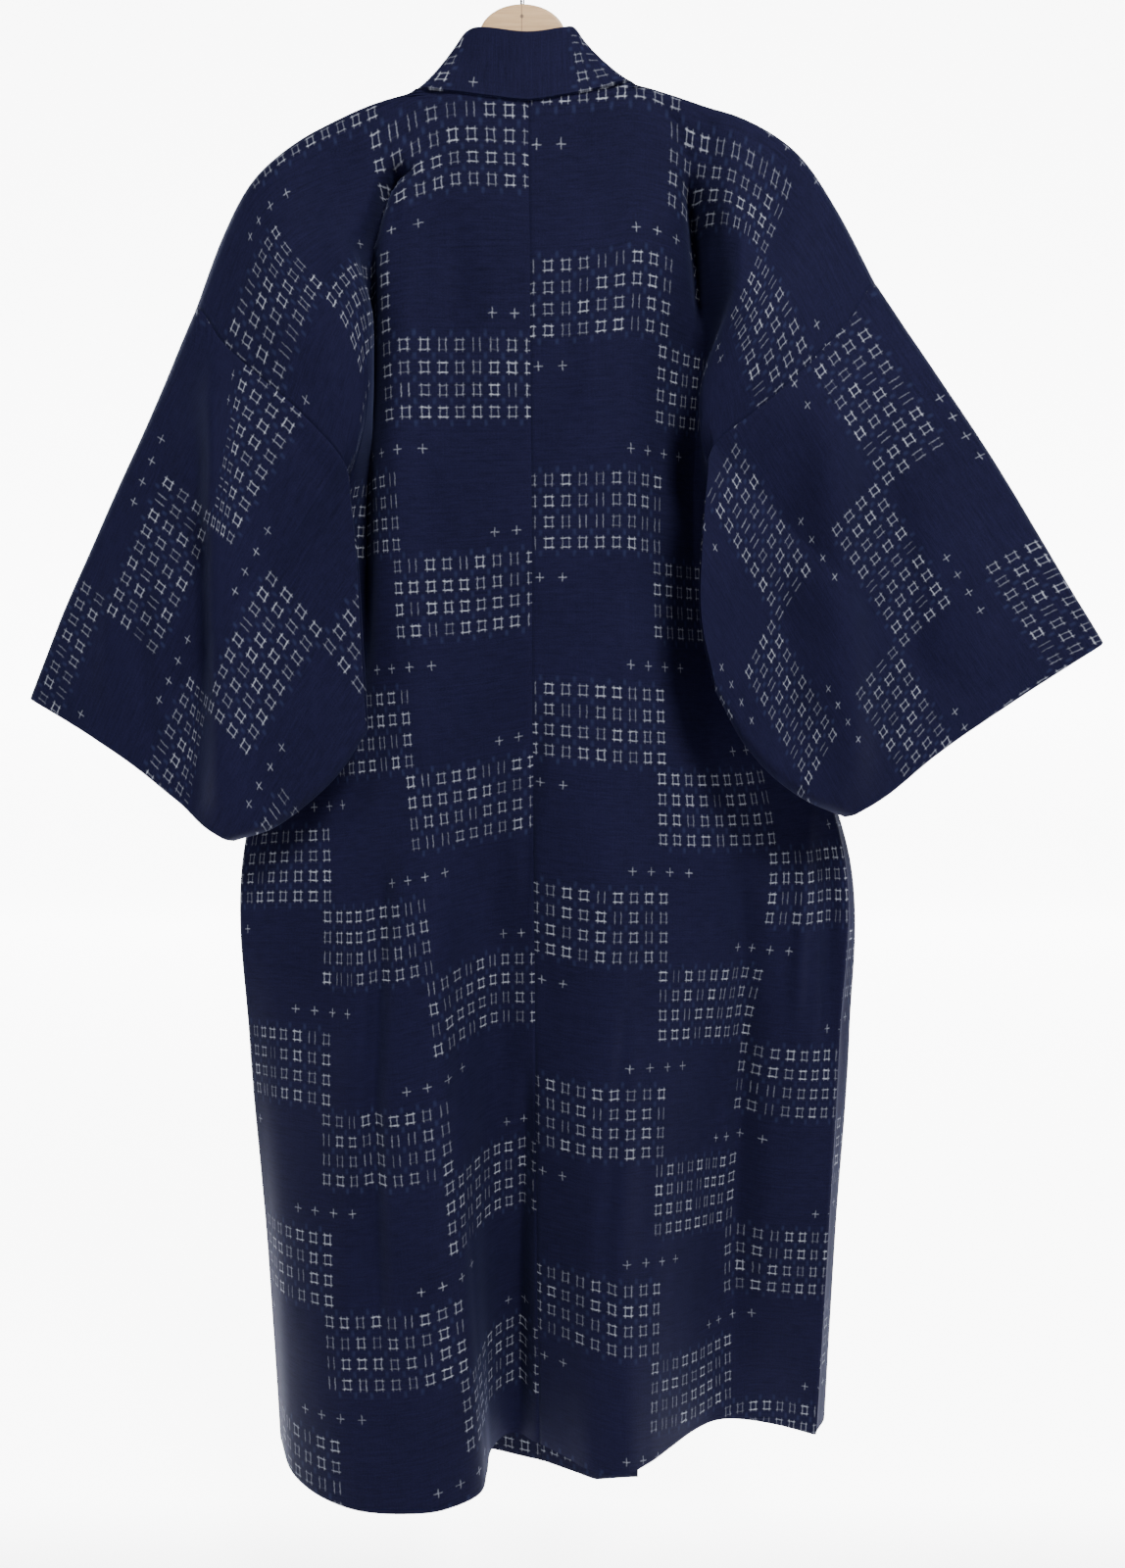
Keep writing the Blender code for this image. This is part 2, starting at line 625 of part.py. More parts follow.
def hanger_hook(slot):
    """Round wire bent into a hook, with its shank standing on the crown."""
    centre = HOOK_WIRE / 2 - HOOK_RADIUS
    path = []
    for angle in np.radians(np.linspace(HOOK_START, HOOK_END, 17)):
        path.append((HOOK_RADIUS * math.cos(angle), centre + HOOK_RADIUS * math.sin(angle)))
    for x, below in HOOK_NECK:
        path.append((x, centre - below))
    path.append((0, CROWN_TOP + SEAM_GAP))
    path = np.array(path)
    ahead = unit(np.gradient(path, axis=0))
    ahead[-1] = (0, -1)
    rings = []
    for (x, z), (tx, tz) in zip(path, ahead):
        for corner in range(WIRE_CORNERS):
            angle = 2 * math.pi * corner / WIRE_CORNERS
            flat = HOOK_WIRE / 2 * math.cos(angle)
            deep = HOOK_WIRE / 2 * math.sin(angle)
            rings.append((x - tz * flat, deep, z + tx * flat))
    faces = []
    for i in range(len(path) - 1):
        for j in range(WIRE_CORNERS):
            near = i * WIRE_CORNERS
            k = (j + 1) % WIRE_CORNERS
            faces.append((near + j, near + k, near + WIRE_CORNERS + k, near + WIRE_CORNERS + j))
    faces.append(tuple(range(WIRE_CORNERS - 1, -1, -1)))
    end = (len(path) - 1) * WIRE_CORNERS
    faces.append(tuple(range(end, end + WIRE_CORNERS)))
    return add_object("hanger_hook", rings, faces, slot)


def face_outward(made):
    """Turn a closed mesh so that its faces point out, by the sign of its volume."""
    mesh = made.data
    volume = 0.0
    for face in mesh.polygons:
        corners = [mesh.vertices[i].co for i in face.vertices]
        for i in range(1, len(corners) - 1):
            volume += corners[0].dot(Vector(corners[i]).cross(corners[i + 1]))
    if volume < 0:
        mesh.flip_normals()


def main():
    for old in list(bpy.data.objects):
        bpy.data.objects.remove(old, do_unlink=True)
    cloth = material("cotton_indigo", (0.012, 0.016, 0.055), 0.9)
    wood = material("wood_pale", (0.62, 0.42, 0.24), 0.6)
    steel = material("steel_hook", (0.62, 0.62, 0.64), 0.3)
    made = []
    for side in ("left", "right"):
        body = body_grid(side)
        okumi = okumi_grid(side)
        sleeve = sleeve_grid(side)
        made.append(wall("body_" + side, body, WALL, cloth, seam_normals(body)))
        made.append(wall("okumi_" + side, okumi, WALL, cloth, seam_normals(okumi)))
        made.append(wall("sleeve_" + side, sleeve, WALL, cloth, sleeve_normals(sleeve, body), wrap=True))
    band = collar_grid()
    made.append(wall("collar", band, COLLAR_WALL, cloth, grid_normals(band)))
    made.append(hanger(wood))
    made.append(hanger_hook(steel))
    for one in made:
        face_outward(one)


main()
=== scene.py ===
# %% [markdown]
# A long-sleeved indigo kimono hangs on a wooden hanger and is seen from its back.
# Every cloth piece is a surface worked out from the garment's own sizes: a grid whose
# columns are threads counted from the centre seam and whose rows are lengths of cloth
# measured down from the shoulder. The same two numbers, thread and length, are kept as
# the UV map, so the woven squares follow each fold as the real cloth does.

# %% Frame
import math

import bpy
import numpy as np
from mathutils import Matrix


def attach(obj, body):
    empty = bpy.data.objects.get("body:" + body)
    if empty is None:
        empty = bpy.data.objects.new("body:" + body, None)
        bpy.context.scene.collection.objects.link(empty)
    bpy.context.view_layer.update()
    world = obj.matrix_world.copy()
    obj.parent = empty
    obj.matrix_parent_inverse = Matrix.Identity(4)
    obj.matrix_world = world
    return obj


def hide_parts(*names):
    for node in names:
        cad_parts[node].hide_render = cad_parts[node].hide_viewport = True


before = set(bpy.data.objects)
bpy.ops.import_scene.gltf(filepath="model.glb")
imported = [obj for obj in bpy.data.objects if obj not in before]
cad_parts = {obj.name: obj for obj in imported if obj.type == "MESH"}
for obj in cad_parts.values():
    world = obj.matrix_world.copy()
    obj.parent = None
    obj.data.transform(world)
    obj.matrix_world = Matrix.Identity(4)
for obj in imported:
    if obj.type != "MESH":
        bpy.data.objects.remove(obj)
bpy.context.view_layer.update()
MM = 0.001
print("frame nodes:", sorted(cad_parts))

# %% [markdown]
# The camera stands about a metre behind the garment, a little above its middle, and looks
# six degrees down. The picture is 1148 by 1600, so the sensor's long side is the height.

# %% Camera
EYE = (0.0323, -1.045, -0.5815)
PITCH = math.radians(6)
LENS = 28.125
view = bpy.data.cameras.new("camera")
view.lens = LENS
view.sensor_width = 36
view.clip_end = 50
camera = bpy.data.objects.new("camera", view)
camera.location = EYE
camera.rotation_euler = (math.pi / 2 - PITCH, 0, 0)
bpy.context.scene.collection.objects.link(camera)
bpy.context.scene.camera = camera
print("camera at", EYE)

# %% [markdown]
# Shader maths reads best as ordinary sums. This small class wraps one output socket and
# turns +, -, * and the comparisons into Math nodes. Everything else, such as noise, a
# ramp or a mix of colours, comes from one method that makes any node.


# %% Shader sums
class Wave:
    """One socket of a material, with the operators that the cloth's pattern needs."""

    def __init__(self, tree, socket):
        self.tree = tree
        self.socket = socket

    def _math(self, operation, *values):
        node = self.tree.nodes.new("ShaderNodeMath")
        node.operation = operation
        for place, value in enumerate(values):
            if isinstance(value, Wave):
                self.tree.links.new(value.socket, node.inputs[place])
            else:
                node.inputs[place].default_value = value
        return Wave(self.tree, node.outputs[0])

    def __add__(self, other):
        return self._math("ADD", self, other)

    def __radd__(self, other):
        return self._math("ADD", other, self)

    def __sub__(self, other):
        return self._math("SUBTRACT", self, other)

    def __rsub__(self, other):
        return self._math("SUBTRACT", other, self)

    def __mul__(self, other):
        return self._math("MULTIPLY", self, other)

    def __rmul__(self, other):
        return self._math("MULTIPLY", other, self)

    def __truediv__(self, other):
        return self._math("DIVIDE", self, other)

    def __abs__(self):
        return self._math("ABSOLUTE", self)

    def __lt__(self, other):
        return self._math("LESS_THAN", self, other)

    def floor(self):
        return self._math("FLOOR", self)

    def wrap(self, size):
        return self._math("FLOORED_MODULO", self, size)

    def top(self, other):
        return self._math("MAXIMUM", self, other)

    def low(self, other):
        return self._math("MINIMUM", self, other)

    def clamp(self):
        return self.top(0.0).low(1.0)

    def fade(self, full, none):
        """1 up to full, 0 past none, straight between them."""
        return ((none - self) / (none - full)).clamp()


class Cloth:
    """A material under construction, with its Principled shader."""

    def __init__(self, name):
        self.material = bpy.data.materials.new(name)
        self.material.use_nodes = True
        self.tree = self.material.node_tree
        self.shader = self.tree.nodes["Principled BSDF"]

    def node(self, kind, settings=None, sockets=None, output=0):
        """Any node: its settings first, then the values or links of its sockets."""
        made = self.tree.nodes.new(kind)
        for key, value in (settings or {}).items():
            if key == "stops":
                ramp = made.color_ramp
                while len(ramp.elements) < len(value):
                    ramp.elements.new(0.5)
                for stop, (place, color) in zip(ramp.elements, value):
                    stop.position = place
                    stop.color = (*color, 1)
            else:
                setattr(made, key, value)
        for key, value in (sockets or {}).items():
            if isinstance(value, Wave):
                self.tree.links.new(value.socket, made.inputs[key])
            else:
                made.inputs[key].default_value = value
        return Wave(self.tree, made.outputs[output])

    def feed(self, socket, value):
        if isinstance(value, Wave):
            self.tree.links.new(value.socket, self.shader.inputs[socket])
        else:
            self.shader.inputs[socket].default_value = value

    def noise(self, vector, scale, detail=2.0, rough=0.5):
        return self.node(
            "ShaderNodeTexNoise",
            {"noise_dimensions": "3D"},
            {"Vector": vector, "Scale": scale, "Detail": detail, "Roughness": rough},
        )

    def place(self, x, y, z=0.0):
        return self.node("ShaderNodeCombineXYZ", None, {"X": x, "Y": y, "Z": z})

    def blend(self, share, first, second):
        """Mix of two colours."""
        made = self.tree.nodes.new("ShaderNodeMix")
        made.data_type = "RGBA"
        for key, value in ((0, share), (6, first), (7, second)):
            if isinstance(value, Wave):
                self.tree.links.new(value.socket, made.inputs[key])
            else:
                made.inputs[key].default_value = value if key == 0 else (*value, 1)
        return Wave(self.tree, made.outputs[2])


print("shader helpers ready")

# %% [markdown]
# The cloth is hand-woven cotton, tied before dyeing so that white squares stay in the
# indigo. Squares stand 14.6 mm apart across the cloth and 17 mm along it, nine by four
# in a block, and each block sits four rows lower than its neighbour. Chains of small
# crosses run between the blocks, and faint blue ticks stand between the squares. The
# sides of a square run a little past its corners, and each thread took the dye unevenly.
# A line is full up to one share of LINE_HALF from its middle and gone past a second share.

# %% Pattern sizes
ACROSS_PITCH = 14.6
ALONG_PITCH = 17.0
BLOCK_CELLS = 8
BLOCK_ROWS = 4
PERIOD_ROWS = 10
SQUARE_HALF_WIDTH = 2.8
SQUARE_HALF_HEIGHT = 3.6
SQUARE_TIP = 2.4
LINE_HALF = 0.50
CROSS_ARM = 4.3
CROSS_FADE = 1.2
CROSS_ROW = 8.65
CROSS_PLACES = (-2.1, -0.85, 0.45, 1.8)
LEFT_SEAM_CELL = -40.0
LINE_FULL = 0.55
LINE_NONE = 1.5
CROSS_FULL = 0.5
CROSS_NONE = 1.4
TICK_ACROSS = (0.6, 2.1)
TICK_ALONG = (1.2, 3.4)


def pattern_marks(cloth, across, along, wobble):
    """Brightness of the woven marks at a place in millimetres of cloth.

    across / ACROSS_PITCH and along / ALONG_PITCH count cells and rows. A cell belongs to
    column floor(cell / 8), whose block starts 4 rows lower for each column. A block's last
    cells are also its neighbour's first, except at the centre seam, which cuts through them.
    """
    cell = across / ACROSS_PITCH
    row = along / ALONG_PITCH
    near_cell = (cell + 0.5).floor()
    near_row = (row + 0.5).floor()
    dx = abs((cell - near_cell) * ACROSS_PITCH)
    dy = abs((row - near_row) * ALONG_PITCH)
    column = ((near_cell + 0.01) / BLOCK_CELLS).floor()
    in_block = (near_row - column * BLOCK_ROWS + 0.5).wrap(PERIOD_ROWS) < float(BLOCK_ROWS)
    edge_cell = near_cell.wrap(BLOCK_CELLS) < 0.5
    before = (near_row - column * BLOCK_ROWS + BLOCK_ROWS + 0.5).wrap(PERIOD_ROWS)
    before = before < float(BLOCK_ROWS)
    own = in_block * (1.0 - (abs(near_cell - LEFT_SEAM_CELL) < 0.5))
    active = own.top(edge_cell * before * (1.0 - (abs(near_cell) < 0.5)))

    seed = cloth.place(near_cell * 1.7, near_row * 2.3)
    luck = cloth.noise(seed, 5.3, 0.0)
    pick = cloth.noise(cloth.place(near_cell * 3.1, near_row * 1.9, 7.0), 4.1, 0.0)
    off_x = abs(dx - SQUARE_HALF_WIDTH + wobble * 0.9)
    off_y = abs(dy - SQUARE_HALF_HEIGHT + wobble * 1.1)
    upright = off_x.fade(LINE_HALF * LINE_FULL, LINE_HALF * LINE_NONE)
    upright = upright * dy.fade(SQUARE_HALF_HEIGHT + 0.6, SQUARE_HALF_HEIGHT + SQUARE_TIP)
    level = off_y.fade(LINE_HALF * LINE_FULL, LINE_HALF * LINE_NONE)
    level = level * dx.fade(SQUARE_HALF_WIDTH + 0.5, SQUARE_HALF_WIDTH + SQUARE_TIP)
    upright = upright * (0.15 + 0.95 * luck)
    level = level * ((pick - 0.30) * 2.6).clamp()
    square = (upright * 0.62 + level * 0.72) * (0.40 + 1.0 * pick)
    square = square.clamp() * active

    tick_x = abs((cell - cell.floor() - 0.5) * ACROSS_PITCH)
    tick_y = abs((row - row.floor() - 0.5) * ALONG_PITCH)
    half_row = row.floor() + 0.5
    tick_column = ((cell.floor() + 0.02) / BLOCK_CELLS).floor()
    in_tick = (half_row - tick_column * BLOCK_ROWS + 0.6).wrap(PERIOD_ROWS) < BLOCK_ROWS + 0.9
    tick = tick_x.fade(*TICK_ACROSS) * tick_y.fade(*TICK_ALONG) * in_tick

    chain_column = ((cell + 3.0) / BLOCK_CELLS).floor()
    in_chain = cell - chain_column * BLOCK_CELLS
    chain_row = row - (chain_column - 1.0) * BLOCK_ROWS - CROSS_ROW + PERIOD_ROWS / 2
    cross_y = abs((chain_row.wrap(PERIOD_ROWS) - PERIOD_ROWS / 2) * ALONG_PITCH + wobble)
    line = (LINE_HALF * CROSS_FULL, LINE_HALF * CROSS_NONE)
    arm = (CROSS_ARM - CROSS_FADE, CROSS_ARM)
    cross = None
    for place in CROSS_PLACES:
        cross_x = abs((in_chain - place) * ACROSS_PITCH + wobble)
        bar = cross_x.fade(*line) * cross_y.fade(*arm)
        beam = cross_y.fade(*line) * cross_x.fade(*arm)
        one = bar * 0.6 + beam * 0.6
        cross = one if cross is None else cross + one
    return square, tick, cross.clamp() * (0.45 + 0.5 * luck), luck


print("block of", BLOCK_CELLS + 1, "by", BLOCK_ROWS, "squares")

# %% [markdown]
# Close up, the cotton shows a fine cross ribbing of thick and thin weft threads, a dusty
# soft sheen and small changes of indigo from thread to thread. Noise stretched along
# each thread direction gives both, and a bump of the same threads breaks up the light.

# %% Cotton
INDIGO_DEEP = (0.0023, 0.0025, 0.0128)
INDIGO_PALE = (0.0070, 0.0069, 0.0285)
UNDYED = (0.36, 0.38, 0.45)
HALF_DYED = (0.020, 0.026, 0.072)


def cotton(name):
    """Ground of two indigos by thread, then ticks, then white marks where the grain takes them."""
    cloth = Cloth(name)
    spot = cloth.node("ShaderNodeUVMap", {"uv_map": "threads"})
    across = cloth.node("ShaderNodeSeparateXYZ", None, {"Vector": spot}, 0) * 1000.0
    along = cloth.node("ShaderNodeSeparateXYZ", None, {"Vector": spot}, 1) * 1000.0
    weft = cloth.noise(cloth.place(across * 0.012, along * 0.9), 1.0, 2.0, 0.6)
    warp = cloth.noise(cloth.place(across * 1.1, along * 0.02, 5.0), 1.0, 2.0, 0.6)
    grain = cloth.noise(cloth.place(across * 0.6, along * 0.85, 2.0), 1.0, 2.0, 0.7)
    cloud = cloth.noise(cloth.place(across * 0.012, along * 0.008, 9.0), 1.0, 2.0, 0.5)
    wobble = (cloth.noise(cloth.place(across * 0.25, along * 0.25, 3.0), 1.0, 1.0) - 0.5) * 1.6
    square, tick, cross, luck = pattern_marks(cloth, across, along, wobble)
    slub = cloth.noise(cloth.place(across * 0.07, along * 0.42, 11.0), 1.0, 2.0, 0.6)
    thread = (weft - 0.5) * 0.9 + (warp - 0.5) * 0.5 + (grain - 0.5) * 1.5 + (slub - 0.5) * 1.1
    thread = (thread + (cloud - 0.5) * 0.5 + 0.5).clamp()
    ground = cloth.blend(thread, INDIGO_DEEP, INDIGO_PALE)
    ground = cloth.blend((tick * (0.12 + 0.5 * luck)).clamp(), ground, HALF_DYED)
    speckle = ((grain - 0.34) * 3.2).clamp()
    white = ((square + cross) * (0.35 + 0.65 * speckle)).clamp()
    white = white * (0.55 + 0.9 * slub)
    cloth.feed("Base Color", cloth.blend(white.clamp(), ground, UNDYED))
    cloth.feed("Roughness", 0.86)
    cloth.feed("Specular IOR Level", 0.08)
    cloth.feed("Sheen Weight", 0.05)
    cloth.feed("Sheen Roughness", 0.45)
    cloth.feed("Sheen Tint", (0.40, 0.48, 1.0, 1))
    height = weft * 0.7 + grain * 0.6 + warp * 0.25
    bump = cloth.node(
        "ShaderNodeBump", None, {"Strength": 0.35, "Distance": 0.0004, "Height": height}
    )
    cloth.feed("Normal", bump)
    return cloth.material


COTTON = cotton("indigo_cotton")
print("material", COTTON.name, "with", len(COTTON.node_tree.nodes), "nodes")

# %% [markdown]
# All the tables below are in millimetres and are read with one smooth curve: a cubic
# through the rows whose slopes are the weighted means of the steps on each side. It
# never overshoots far, so a fold that is drawn in a few numbers stays where it was put.


# %% Smooth tables
def slopes(knots, values):
    """Slope at each knot: each side's step weighted by the other side's width."""
    width = np.diff(knots)
    rise = np.diff(values, axis=-1) / width
    slope = np.empty_like(values)
    weighted = rise[..., :-1] * width[1:] + rise[..., 1:] * width[:-1]
    slope[..., 1:-1] = weighted / (width[:-1] + width[1:])
    slope[..., 0] = rise[..., 0]
    slope[..., -1] = rise[..., -1]
    return slope


def span(knots, at):
    """For each place: the knot before it, the run to the next knot and the share of it."""
    k = np.clip(np.searchsorted(knots, at, side="right") - 1, 0, len(knots) - 2)
    run = knots[k + 1] - knots[k]
    return k, run, (at - knots[k]) / run


def cubic(t, run, start, end, start_slope, end_slope):
    """Curve over one run, from its two values and its two slopes; t goes from 0 to 1."""
    return (
        start * (1 + 2 * t) * (1 - t) ** 2
        + end * t * t * (3 - 2 * t)
        + start_slope * run * t * (1 - t) ** 2
        - end_slope * run * t * t * (1 - t)
    )


def steps(knots, values, at):
    """Cubic curve through (knot, value) pairs along the last axis, read at many places."""
    knots = np.asarray(knots, float)
    values = np.asarray(values, float)
    at = np.clip(np.asarray(at, float), knots[0], knots[-1])
    slope = slopes(knots, values)
    k, run, t = span(knots, at)
    return cubic(t, run, values[..., k], values[..., k + 1], slope[..., k], slope[..., k + 1])


def down(levels, rows, drop):
    """Each thread's value in a table of rows, at each drop."""
    return steps(levels, np.asarray(rows, float).T, drop).T


def over(threads, lines, across):
    """Each row's curve over its threads, read at that row's own places."""
    knots = np.asarray(threads, float)
    slope = slopes(knots, lines)
    k, run, t = span(knots, np.clip(across, knots[0], knots[-1]))
    row = np.arange(len(lines))[:, None]
    return cubic(t, run, lines[row, k], lines[row, k + 1], slope[row, k], slope[row, k + 1])


def turn(distance, radius):
    """0 at a fold and 1 past it, as cloth rounds the fold."""
    return np.sin(np.clip(np.asarray(distance, float) / (radius * math.pi / 2), 0, 1) * math.pi / 2)


def unit(vectors):
    """Vectors divided by their own lengths."""
    return vectors / np.maximum(np.linalg.norm(vectors, axis=-1, keepdims=True), 1e-9)


print("a curve through 0, 1, 0:", steps((0, 1, 2), (0, 1, 0), np.array([0.5, 1.0, 1.5])))

# %% [markdown]
# The body is two strips, joined at the centre of the back. Each table row below is one
# level down the cloth, and each number is one thread's place across the garment or
# towards the viewer, who stands at negative y. Between the numbers runs the smooth curve.

# %% Body sizes
NECK_LEVEL = -130.0
BODY_LENGTH = 1152.0
NECK_HALF = 90.0
NECK_DROP = 16.0
HALF_WIDTH = 340.0
ARMHOLE = 200.0
ARMHOLE_NEAR = 290.0
RIDGE_TURN = 12.0
RIDGE_EVEN = 45.0
CENTRE_FRONT_DROP = 300.0
COLLAR_END_DROP = 650.0
OKUMI_WIDTH = 108.0
OKUMI_AT_COLLAR = 58.0
OVERLAP_STEP = 8.0
LEFT_HEM_EXTRA = 82.0
HEM_EXTRA_AT_CENTRE = 0.7
HEM_EXTRA_RUN = 60.0
OVERLAP_FADE = (140.0, 310.0)
OVERLAP_START = 100.0
SIDE_LAP = 2.2
SIDE_FILL_RUN = 140.0
SIDE_FILL_PEAK = 9.48
SEAM_GAP = 0.3
CLOTH = 1.2

THREADS = (0, 30, 60, 90, 117, 150, 180, 234, 290, 340)
LEVELS = (0, 70, 140, 200, 340, 490, 630, 790, 970, 1152)
DROOP_KEPT = (1, 0.85, 0.7, 0.56, 0.15, 0, 0, 0, 0, 0)
FRONT_THREADS = (0, 117, 234, 290, 340)
FRONT_Y = (
    (14, 14, 13, 12, 12),
    (16, 20, 16, 12, 8),
    (20, 24, 10, -4, -10),
    (22, 28, 14, -25, -35.8),
    (26, 34, 30, 4, -7.8),
    (30, 38, 34, 24, 4.2),
    (34, 42, 36, 22, 2.2),
    (34, 42, 36, 23, 0.2),
    (35, 43, 37, 25, -1.8),
    (36, 44, 38, 26, -3.8),
)
BODY = {
    "left": {
        "sign": -1,
        "side_fill": 9.0,
        "ridge": (0, 0.5, 1, -1, -8, -20, -33, -65, -110, -170),
        "back_x": (
            (5, -26, -58, -91, -118, -148, -174, -217, -245, -270),
            (5, -24, -53, -81, -108, -134, -156, -187, -205, -227),
            (6, -23, -51, -79, -107, -130, -124, -138, -157, -176),
            (6, -23, -51, -79, -106, -128, -122, -126, -134, -144),
            (7, -22, -50, -77, -102, -122, -140, -160, -172, -168),
            (7, -20, -46, -72, -95, -120, -140, -172, -196, -208),
            (8, -18, -42, -64, -85, -110, -133, -165, -212, -244),
            (9, -16, -36, -52, -66, -96, -124, -163, -212, -241),
            (10, -15, -33, -44, -53, -82, -111, -160, -206, -230),
            (12, -16, -31, -33, -37, -66, -96, -149, -198, -222),
        ),
        "back_y": (
            (-14, -14, -14, -13, -12, -12, -12, -12, -12, -12),
            (-14, -14, -14, -14, -14, -14, -20, -34, -38, -34),
            (-15, -14, -12, -12, -14, -8, -42, -52, -54, -48),
            (-15, -14, -12, -12, -15, -2, -32, -40, -41, -38),
            (-15, -14, -12, -12, -14, -10, 0, 4, -2, -10),
            (-15, -10, -10, -14, -18, -14, -6, 2, 4, 2),
            (-15, -6, -8, -18, -26, -26, -20, -12, -6, 0),
            (-15, -4, -12, -30, -48, -56, -54, -40, -22, -2),
            (-16, -3, -20, -46, -68, -78, -80, -68, -40, -4),
            (-16, -3, -26, -56, -82, -103, -107, -98, -58, -6),
        ),
        "front_x": (
            (5, -118, -217, -245, -270),
            (5, -108, -187, -205, -227),
            (6, -98, -150, -164, -176),
            (6, -96, -150, -148, -144),
            (7, -100, -146, -162, -168),
            (7, -104, -182, -206, -208),
            (8, -106, -200, -240, -244),
            (9, -106, -196, -232, -241),
            (10, -104, -190, -222, -230),
            (12, -102, -186, -214, -222),
        ),
    },
    "right": {
        "sign": 1,
        "side_fill": 13.0,
        "ridge": (0, 1, 3, 5, -1, -11, -20, -46, -92, -150),
        "back_x": (
            (5, 34, 63, 92, 117, 148, 177, 222, 257, 290),
            (5, 34, 62, 90, 115, 141, 164, 198, 224, 250),
            (6, 35, 63, 90, 112, 138, 158, 172, 186, 202),
            (6, 35, 62, 88, 109, 134, 152, 146, 148, 153),
            (7, 35, 62, 87, 106, 130, 148, 168, 182, 176),
            (7, 35, 63, 88, 109, 134, 155, 186, 214, 230),
            (8, 36, 64, 90, 112, 140, 168, 211, 250, 276),
            (9, 35, 61, 88, 112, 137, 159, 192, 240, 274),
            (10, 35, 60, 86, 109, 132, 152, 180, 230, 268),
            (12, 36, 58, 86, 106, 129, 150, 182, 226, 261),
        ),
        "back_y": (
            (-14, -14, -14, -13, -12, -12, -12, -12, -12, -12),
            (-14, -14, -15, -16, -14, -6, -24, -22, -38, -34),
            (-15, -18, -20, -22, -16, -2, -22, -46, -56, -48),
            (-15, -18, -20, -20, -12, 0, -8, -34, -41, -38),
            (-15, -18, -20, -20, -10, 2, 6, 4, -2, -10),
            (-15, -22, -26, -26, -16, -4, 4, 2, 2, 2),
            (-15, -26, -32, -30, -20, -12, -4, -2, -4, 0),
            (-15, -30, -40, -40, -26, -10, 4, 8, -4, -2),
            (-16, -32, -46, -48, -34, -12, 6, 16, 2, -4),
            (-16, -36, -55, -60, -46, -22, 0, 18, 10, -6),
        ),
        "front_x": (
            (5, 117, 222, 257, 290),
            (5, 115, 198, 224, 250),
            (6, 106, 170, 188, 202),
            (6, 104, 158, 156, 153),
            (7, 108, 158, 176, 176),
            (7, 114, 200, 232, 230),
            (8, 116, 230, 282, 276),
            (9, 116, 226, 286, 274),
            (10, 114, 218, 278, 268),
            (12, 112, 210, 272, 261),
        ),
    },
}

# %% [markdown]
# One function places any thread at any drop. The cloth rounds the ridge of the shoulder in
# a quarter circle, then hangs straight down, and the ridge itself droops towards the side.
# Just below the armhole the side edge runs on behind the sleeve, so that no gap shows there.


# %% Body surface
def ridge_fall(drop):
    """Height lost at a drop: round the ridge first, then one for one with the drop."""
    quarter = RIDGE_TURN * math.pi / 2
    past = RIDGE_TURN + (drop - quarter) * (RIDGE_EVEN - RIDGE_TURN) / (RIDGE_EVEN - quarter)
    round_part = RIDGE_TURN * (1 - np.cos(np.clip(drop / RIDGE_TURN, 0, math.pi / 2)))
    return np.where(drop < quarter, round_part, np.where(drop < RIDGE_EVEN, past, drop))


def body_points(side, face, drop, across):
    """Places of threads: drop has one number for each row, across a row of threads each."""
    cut = BODY[side]
    drop = np.asarray(drop, float)
    across = np.asarray(across, float)
    sag = steps(THREADS, cut["ridge"], across) * steps(LEVELS, DROOP_KEPT, drop)[:, None]
    if face == "back":
        x = over(THREADS, down(LEVELS, cut["back_x"], drop), across)
        y = over(THREADS, down(LEVELS, cut["back_y"], drop), across)
    else:
        x = over(FRONT_THREADS, down(LEVELS, cut["front_x"], drop), across)
        lines = down(LEVELS, FRONT_Y, drop)
        side_y = steps(LEVELS, np.array(cut["back_y"], float)[:, -1], drop) + SIDE_LAP
        lines[:, -1] = np.where(drop >= ARMHOLE, side_y, lines[:, -1])
        y = over(FRONT_THREADS, lines, across)
        if side == "left":
            fade = np.clip((OVERLAP_FADE[1] - across) / (OVERLAP_FADE[1] - OVERLAP_FADE[0]), 0, 1)
            y = y + OVERLAP_STEP * fade * np.clip(drop / OVERLAP_START, 0, 1)[:, None]
    below = np.clip((drop - ARMHOLE) / SIDE_FILL_RUN, 0, 1)[:, None]
    outer = np.clip((across - ARMHOLE_NEAR) / (HALF_WIDTH - ARMHOLE_NEAR), 0, 1)
    fill = cut["side_fill"] * SIDE_FILL_PEAK * below * (1 - below) ** 3 * outer
    x = x + cut["sign"] * (SEAM_GAP / 2 + fill)
    y = y * turn(drop[:, None] + 2 * np.clip(NECK_HALF - across, 0, NECK_HALF), RIDGE_TURN)
    z = NECK_LEVEL - ridge_fall(drop)[:, None] + sag
    return np.stack(np.broadcast_arrays(x, y, z), axis=-1)


def back_neck_edge(drop):
    """First thread of the back at each drop: the neck's shallow curve."""
    return NECK_HALF * (1 - np.clip(drop / NECK_DROP, 0, 1) ** 2)


def front_edge(drop):
    """First thread of the front at each drop: the slanted neck, then the centre front."""
    return NECK_HALF * (1 - np.clip(drop / CENTRE_FRONT_DROP, 0, 1))


def left_hem_extra(drop, share):
    """How far the wearer's left front hangs lower, for a share of its largest fall."""
    run = np.clip((drop - COLLAR_END_DROP) / (BODY_LENGTH - COLLAR_END_DROP), 0, 1)
    return LEFT_HEM_EXTRA * share * run


print("centre back at the neck:", body_points("left", "back", [NECK_DROP], [[0.0]])[0, 0])
